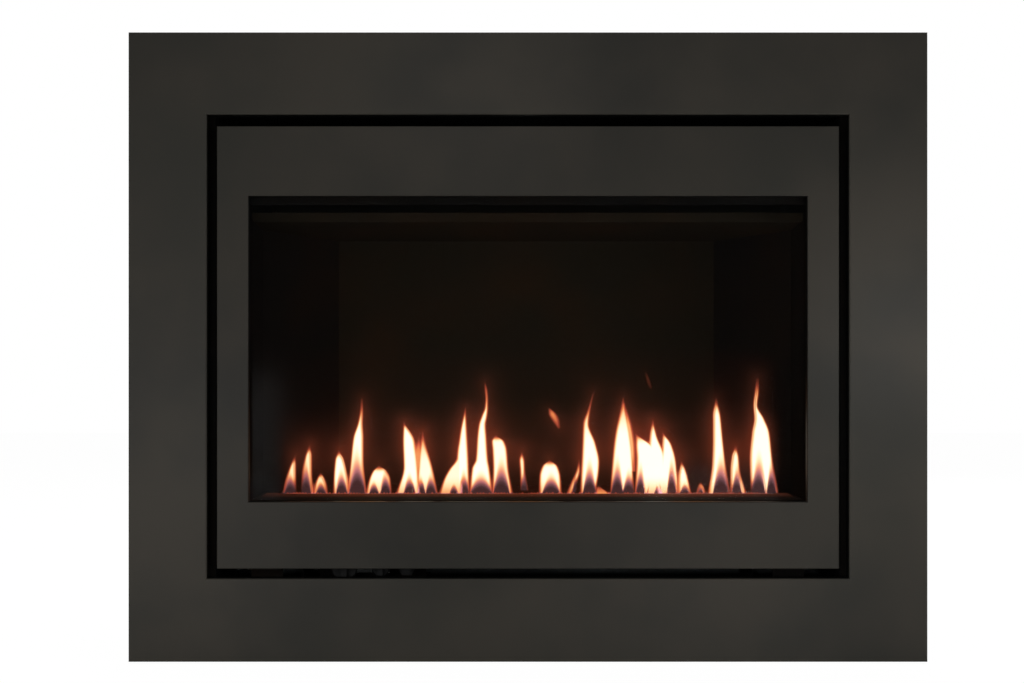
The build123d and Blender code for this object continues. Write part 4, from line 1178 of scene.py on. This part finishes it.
# From left to right, with the two wisps that have come loose at the end
TONGUES = (
    Tongue(((0, -325, -308), (18, -321, -308), (36, -315, -308)), (-309, 50),
           (Arch(-315, 24, 8),), 0.76),
    Tongue(((0, -299, -283), (28, -298, -286), (50, -294, -286)), (-289, 64),
           (Arch(-293, 36, 7),), 0.76),
    Tongue(((0, -284, -265), (12, -282, -267), (22, -278, -271)), (-275, 27),
           (Arch(-274, 13, 7),), 0.76, 6),
    Tongue(((0, -257, -236), (25, -256, -239), (47, -254, -244)), (-250, 57),
           (Arch(-246, 28, 8),)),
    Tongue(((0, -238, -214), (46, -234, -218), (74, -231, -218), (93, -225, -219),
            (108, -222, -218.5)), (-220, 126), (Arch(-226, 48, 11),), 1.0, 42),
    Tongue(((0, -214, -180), (20, -209, -182), (31, -204, -187)), (-197, 37),
           (Arch(-203, 14, 7), Arch(-188, 26, 7)), 0.95, 7),
    Tongue(((0, -174, -143), (36, -164, -145), (71, -165, -150)), (-164, 94),
           (Arch(-156, 22, 8),), 1.0, 8),
    Tongue(((14, -152, -137), (52, -151, -138)), (-144, 76), (), 0.36, 24),
    Tongue(((0, -147, -119), (34, -144, -126), (62, -142, -134)), (-139, 82),
           (Arch(-141, 20, 6), Arch(-128, 22, 7)), 0.9, 42),
    Tongue(((0, -117, -86), (20, -110, -86), (33, -103, -86), (45, -94, -86)), (-88, 64),
           (Arch(-97, 11, 6),), 0.84, 16),
    Tongue(((0, -93, -77), (42, -93, -78), (80, -89, -80)), (-82, 114),
           (Arch(-84, 26, 7),), 1.0, 16),
    Tongue(((0, -76, -46), (34, -73, -50), (46, -68, -52), (76, -66, -54), (92, -64, -55),
            (104, -60, -53), (115, -56, -52), (127, -55, -52), (138, -56, -53)), (-56, 147),
           (Arch(-61, 24, 15),), 1.0, 44),
    Tongue(((0, -46, -19), (32, -45, -25), (58, -46, -27), (70, -47, -31)), (-42, 77),
           (Arch(-34, 38, 11),), 0.94, 7),
    Tongue(((5, -8, 1), (31, -9, -3), (46, -10, -4)), (-7, 55), (Arch(-4, 28, 5),), 0.95),
    Tongue(((0, 16, 46), (24, 17, 44), (37, 21, 40)), (30, 44), (Arch(32, 22, 12),), 0.97, 7),
    Tongue(((0, 52, 60), (16, 59, 66), (32, 66, 70)), (69, 45), (Arch(64, 20, 4),), 0.7),
    Tongue(((0, 71, 91), (42, 73, 96), (67, 74, 91), (93, 75, 82), (111, 81, 84)),
           (88, 133), (Arch(83, 36, 9),), 1.0, 66),
    Tongue(((0, 90, 111), (4, 92, 105), (7, 93, 100)), (96, 10), (), 0.75, 2),
    Tongue(((0, 111, 142), (56, 115, 139), (80, 118, 136), (104, 123, 132)), (128, 127),
           (Arch(120, 38, 8), Arch(135, 26, 8)), 1.0, 50),
    Tongue(((30, 126, 144), (64, 128, 143), (90, 128, 139)), (130, 118), (), 0.46, 30),
    Tongue(((0, 144, 178), (47, 146, 178), (64, 145, 166)), (145, 79),
           (Arch(151, 32, 6), Arch(167, 16, 9)), 1.0, 14),
    Tongue(((0, 158, 187), (51, 161, 182), (77, 163, 172)), (167, 98),
           (Arch(174, 12, 6),), 1.0, 16),
    Tongue(((0, 174, 201), (42, 177, 198), (65, 180, 192)), (181, 81),
           (Arch(192, 38, 7),), 1.0, 10),
    Tongue(((0, 200, 218), (22, 201, 213), (35, 203, 209)), (205, 43),
           (Arch(209, 12, 7),), 0.97),
    Tongue(((0, 225, 238), (9, 228, 235)), (231, 15), (Arch(231, 9, 4),), 0.9, 4),
    Tongue(((0, 240, 269), (40, 246, 263), (76, 247, 259), (105, 247, 256)), (251, 126),
           (Arch(257, 42, 11),), 1.0, 24),
    Tongue(((0, 271, 292), (30, 271, 283), (50, 273, 281)), (278, 63),
           (Arch(279, 32, 7),), 0.93, 14),
    Tongue(((0, 298, 333), (47, 296, 325), (82, 299, 321), (100, 302, 314),
            (118, 301, 305), (137, 303, 307)), (306, 153),
           (Arch(307, 44, 10), Arch(324, 38, 7)), 1.0, 44),
    Tongue(((87, 41, 44), (97, 34, 43), (107, 29, 38)), (29, 114), (), 0.38, 2),
    Tongue(((140, 163, 166), (150, 159, 163)), (157, 163), (), 0.1, 2),
)


@dataclass
class Fire:
    """The row of flames that stands on the burner's crown."""

    look: FireLook = field(default_factory=FireLook)
    tongues: tuple[Tongue, ...] = TONGUES
    # The glow_ values size the sheet of painted glow behind the tongues.
    glow_half_width: float = 344.0
    glow_height: float = 200.0
    glow_step: float = 4.0
    glow_offset: float = 11.5
    glow_border: float = 26.0
    glow_thickness: float = 0.5
    weld: float = 0.01
    flamelet_pitch: float = 4.0
    flamelet_height: float = 2.6
    flamelet_radius: float = 2.0
    flamelet_sides: int = 8
    flamelet_heat: tuple[float, float] = (0.2, 0.06)
    flamelet_sizes: tuple[float, float] = (0.5, 1.25)
    lamp_count: int = 3
    lamp_height: float = 70.0
    lamp_radius: float = 30.0
    lamp_power: float = 0.08
    lamp_colour: str = "#FFA860"
    seed: int = 11

    def build(self) -> None:
        """Builds the tongues, their painted glow and the low flamelets, and lights the firebox.
        """
        low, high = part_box("burner_crown")
        self.base = Vector((0, (low.y + high.y) / 2, high.z))
        self.side = high.x
        for name, mesh in (("burner_flames", self.tongue_mesh()),
                           ("painted_flame_glow", self.painted_glow_mesh()),
                           ("port_flamelets", self.flamelet_mesh())):
            piece = new_piece(name, mesh, "insert")
            piece.visible_shadow = False
        self.light()

    def tongue_mesh(self) -> bpy.types.Mesh:
        """Joins the lens-shaped shells of all tongues, each with a margin for its rim.

        Returns:
            The mesh.
        """
        shells = []
        look = self.look
        for k, tongue in enumerate(self.tongues):
            tip = tongue.tip[1]
            rows = max(look.least_rows,
                       round((tip + look.margin - tongue.foot) / look.row_step))
            heights = np.linspace(tongue.foot, tip + look.margin, rows + 1)
            left, right = tongue.edges(np.minimum(heights, tip))
            width = (right - left).max() + 2 * look.margin
            columns = max(look.least_columns, round(width / look.column_step))
            across = np.linspace(-1, 1, columns + 1)[None, :]
            over = np.clip((heights - tip) / look.margin, 0, 1)
            reach = (right - left) / 2 + look.margin * np.sqrt(1 - over**2)
            x = ((left + right) / 2)[:, None] + across * reach[:, None]
            height = np.repeat(heights[:, None], across.size, 1)
            heat = np.max([each.heat(x, height, look) for each in self.tongues], axis=0)
            ends = np.minimum(heights - heights[0], heights[-1] - heights) / look.end_length
            bulge = look.thickness * np.sqrt(
                np.clip(1 - across**2, 0, 1) * np.minimum(1, ends)[:, None])
            offset = look.stagger * (-1 if k % 2 else 1)
            unburnt = (1 - tongue.burnt(x, height, look)) ** look.cool_focus
            shells.append((x, height, bulge, offset, heat, unburnt))
        return self.lens("burner_flames", shells)

    def painted_glow_mesh(self) -> bpy.types.Mesh:
        """Painted glow of the fire's light round the tongues, as one thin sheet behind them.

        Returns:
            The mesh.
        """
        side, top, border = self.glow_half_width, self.glow_height, self.glow_border
        x, height = np.meshgrid(np.arange(-side, side + 1, self.glow_step),
                                np.arange(0, top + 1, self.glow_step))
        heat = np.zeros_like(x)
        for tongue in self.tongues:
            away = np.maximum(0, -tongue.inside(x, height, self.look.tip_slope))
            heat += tongue.glow * self.look.near_glow * np.exp(-away / self.look.near_reach)
            heat += tongue.glow * self.look.far_glow * np.exp(-away / self.look.far_reach)
        rise = smooth_step(self.look.dim_below, self.look.full_above, height)
        heat *= self.look.dim_share + (1 - self.look.dim_share) * rise
        calm = smooth_step(self.look.calm_above, self.look.calm_full, height)
        heat *= 1 - (1 - self.look.calm_share) * calm
        heat *= smooth_step(0, border, side - np.abs(x)) * smooth_step(0, border, top - height)
        edge = np.minimum(np.minimum(side - np.abs(x), height), top - height)
        bulge = np.clip(edge, 0, self.glow_thickness)
        return self.lens("painted_flame_glow", [
            (x, height, bulge, self.glow_offset, heat, np.zeros_like(heat))])

    def lens(self, name: str, shells: list[tuple]) -> bpy.types.Mesh:
        """Closed bodies, each with a front and a back that meet at their border.

        Args:
            name: name of the mesh.
            shells: for each body x, height and bulge over a grid, its depth behind the
                crown's middle line, and its heat and its unburnt share over the grid.

        Returns:
            The mesh, with its heat and its unburnt share as attributes.
        """
        points, faces, heats, shares = [], [], [], []
        for x, height, bulge, offset, heat, unburnt in shells:
            rows, columns = x.shape
            first = len(points)
            for way in (-1, 1):
                depth = offset + way * bulge
                points += [self.base + MM * Vector(place)
                           for place in zip(x.flat, depth.flat, height.flat)]
                heats += list(heat.flat)
                shares += list(unburnt.flat)
            for r in range(rows - 1):
                for a in range(first + r * columns, first + (r + 1) * columns - 1):
                    b, back = a + columns, x.size
                    faces.append((a, a + 1, b + 1, b))
                    faces.append((a + back, b + back, b + back + 1, a + back + 1))
        mesh = bpy.data.meshes.new(name)
        mesh.from_pydata(points, [], faces)
        for label, values in ((GAS.attribute, heats), (GAS.cool_attribute, shares)):
            mesh.attributes.new(label, "FLOAT", "POINT").data.foreach_set("value", values)
        shell = bmesh.new()
        shell.from_mesh(mesh)
        bmesh.ops.remove_doubles(shell, verts=shell.verts, dist=self.weld * MM)
        bmesh.ops.recalc_face_normals(shell, faces=shell.faces)
        shell.to_mesh(mesh)
        shell.free()
        mesh.shade_smooth()
        mesh.materials.append(GAS.material())
        return mesh

    def flamelet_mesh(self) -> bpy.types.Mesh:
        """Low flamelets along the crown, two to a port, set by a geometry tree.

        Returns:
            The mesh.
        """
        count = int(2 * self.side / (self.flamelet_pitch * MM)) - 2
        tree, given = start_tree("port_flamelets", {
            "Count": "Int", "Pitch": "Float", "Radius": "Float", "Height": "Float",
            "Start": "Vector"})
        step = add_node(tree, "ShaderNodeCombineXYZ", {0: given["Pitch"]})
        ports = add_node(tree, "GeometryNodeMeshLine", {
            "Count": given["Count"], "Start Location": given["Start"],
            "Offset": step.outputs[0]})
        cone = add_node(tree, "GeometryNodeMeshCone", {
            "Vertices": self.flamelet_sides, "Radius Top": 0.0,
            "Radius Bottom": given["Radius"], "Depth": given["Height"]})
        high = add_node(tree, "ShaderNodeSeparateXYZ", {
            0: tree.nodes.new("GeometryNodeInputPosition").outputs[0]})
        hot, cool = self.flamelet_heat
        heat = add_node(tree, "ShaderNodeMapRange", {
            "Value": high.outputs[2], "From Max": given["Height"], "To Min": hot,
            "To Max": cool})
        glowing = add_node(tree, "GeometryNodeStoreNamedAttribute", {
            "Geometry": cone.outputs["Mesh"], "Name": GAS.attribute, "Value": heat.outputs[0]},
            data_type="FLOAT", domain="POINT")
        small, large = self.flamelet_sizes
        size = add_node(tree, "FunctionNodeRandomValue", {
            2: small, 3: large, "Seed": self.seed}, data_type="FLOAT")
        end_tree(tree, given["Material"], {
            "Points": ports.outputs[0], "Instance": glowing.outputs[0],
            "Scale": size.outputs[1]})
        pitch = self.flamelet_pitch * MM
        start = self.base - Vector(((count - 1) * pitch / 2, 0, 0))
        carrier = bpy.data.objects.new("flamelet_line", bpy.data.meshes.new("flamelet_line"))
        return run_tree(carrier, tree, {
            "Count": count, "Pitch": pitch, "Radius": self.flamelet_radius * MM,
            "Height": self.flamelet_height * MM, "Start": tuple(start),
            "Material": GAS.material()})

    def light(self) -> None:
        """Sets a row of dim warm lamps where the flames are."""
        for k in range(self.lamp_count):
            lamp = bpy.data.lights.new(f"fire_lamp_{k}", "POINT")
            lamp.energy = self.lamp_power
            lamp.color = srgb(self.lamp_colour)[:3]
            lamp.shadow_soft_size = self.lamp_radius * MM
            holder = bpy.data.objects.new(f"fire_lamp_{k}", lamp)
            share = (k + 0.5) / self.lamp_count
            holder.location = self.base + Vector((
                (2 * share - 1) * self.side, 0, self.lamp_height * MM))
            bpy.context.scene.collection.objects.link(holder)


# ------------------------------------------------------------------ studio

@dataclass(frozen=True)
class Lamp:
    """A soft lamp: where it stands, where it points, its size and its power, in metres and
    watts."""

    name: str
    place: tuple[float, float, float]
    target: tuple[float, float, float]
    size: float
    power: float


@dataclass
class Studio:
    """Pale floor, white surroundings, soft lamps and the camera, with places in metres.

    The camera sees floor_share of the floor as plain white of level floor_white, and the rest
    as the lamps light it.
    """

    floor_reach: float = 6.0
    floor_colour: str = "#F4F4F4"
    floor_roughness: float = 0.9
    floor_specular: float = 0.1
    floor_share: float = 0.96
    floor_white: float = 1.02
    ambient: float = 0.24
    lens: float = 67.45
    camera_place: tuple[float, float, float] = (-0.020, -2.425, 0.315)
    lamps: tuple[Lamp, ...] = (
        Lamp("key_lamp", (1.7, -1.7, 0.15), (0.35, 0.0, 0.15), 0.9, 9.0),
        Lamp("fill_lamp", (-1.6, -2.2, 0.02), (-0.35, 0.0, 0.05), 1.2, 12.8),
        Lamp("side_lamp", (0.5, -0.29, 0.32), (0.49, 0.0, 0.32), 0.16, 0.5),
        Lamp("left_lamp", (-0.5, -0.55, 0.14), (-0.42, 0.0, 0.12), 0.24, 1.1),
        Lamp("low_right_lamp", (0.28, -0.55, 0.02), (0.26, 0.0, 0.02), 0.2, 0.75),
        Lamp("upper_lamp", (-0.08, -0.4, 0.66), (-0.06, 0.0, 0.66), 0.2, 0.3),
        Lamp("top_lamp", (0.0, 0.4, 2.6), (0.0, 0.2, 0.3), 2.0, 24.0),
        Lamp("rear_lamp", (0.6, 2.8, 1.6), (0.0, 0.3, 0.3), 2.0, 30.0),
    )

    def build(self) -> None:
        """Builds the floor, the world, the lamps and the camera."""
        self.floor()
        self.world()
        for lamp in self.lamps:
            self.hang(lamp)
        camera = bpy.data.cameras.new("camera")
        camera.lens = self.lens
        holder = bpy.data.objects.new("camera", camera)
        holder.location = self.camera_place
        holder.rotation_euler = (math.pi / 2, 0, 0)
        bpy.context.scene.collection.objects.link(holder)
        bpy.context.scene.camera = holder
        bpy.context.scene.view_settings.view_transform = "Standard"

    def floor(self) -> None:
        """Lays a pale floor under the surround's lower edge, as white to the camera as the
        world round it but for the shadow on it."""
        reach = self.floor_reach
        mesh = bpy.data.meshes.new("floor")
        mesh.from_pydata([(x * reach, y * reach, CAD_BOX[0].z)
                          for x, y in ((-1, -1), (1, -1), (1, 1), (-1, 1))], [], [(0, 1, 2, 3)])
        surface = Surface("pale matt floor", {
            "Base Color": srgb(self.floor_colour), "Roughness": self.floor_roughness,
            "Specular IOR Level": self.floor_specular})
        seen = surface.add("ShaderNodeLightPath").outputs["Is Camera Ray"]
        share = surface.add("ShaderNodeMath", {0: seen, 1: self.floor_share},
                            operation="MULTIPLY")
        white = surface.add("ShaderNodeEmission", {
            "Color": (1, 1, 1, 1), "Strength": self.floor_white})
        mix = surface.add("ShaderNodeMixShader", {
            0: share.outputs[0], 1: surface.shader.outputs[0], 2: white.outputs[0]})
        output = surface.tree.nodes["Material Output"]
        surface.tree.links.new(mix.outputs[0], output.inputs[0])
        mesh.materials.append(surface.material)
        floor = bpy.data.objects.new("floor", mesh)
        bpy.context.scene.collection.objects.link(floor)

    def world(self) -> None:
        """Surrounds the object with white for the eye, glass and gloss, and soft light."""
        world = bpy.data.worlds.new("studio")
        world.use_nodes = True
        tree = world.node_tree
        path = add_node(tree, "ShaderNodeLightPath")
        seen = add_node(tree, "ShaderNodeMath", {
            0: path.outputs["Is Camera Ray"], 1: path.outputs["Is Glossy Ray"]},
            operation="MAXIMUM")
        seen = add_node(tree, "ShaderNodeMath", {
            0: seen.outputs[0], 1: path.outputs["Is Transmission Ray"]}, operation="MAXIMUM")
        strength = add_node(tree, "ShaderNodeMapRange", {
            "Value": seen.outputs[0], "To Min": self.ambient, "To Max": 1.0})
        background = tree.nodes["Background"]
        background.inputs["Color"].default_value = (1, 1, 1, 1)
        tree.links.new(strength.outputs[0], background.inputs["Strength"])
        bpy.context.scene.world = world

    def hang(self, lamp: Lamp) -> None:
        """Hangs one square lamp."""
        light = bpy.data.lights.new(lamp.name, "AREA")
        light.energy = lamp.power
        light.size = lamp.size
        holder = bpy.data.objects.new(lamp.name, light)
        holder.location = lamp.place
        way = Vector(lamp.target) - Vector(lamp.place)
        holder.rotation_euler = way.to_track_quat("-Z", "Y").to_euler()
        bpy.context.scene.collection.objects.link(holder)


def main() -> None:
    """Builds the object's looks in order."""
    logging.basicConfig(level=logging.INFO, format="%(name)s: %(message)s")
    Studio().build()
    for assembly in (Trims(), Casing(), Firebox(), GlassFront(), Burner(), GasTrain(), Flue(),
                     Fire()):
        assembly.build()
        LOG.info("%s built", type(assembly).__name__)


if __name__ == "__main__":
    main()
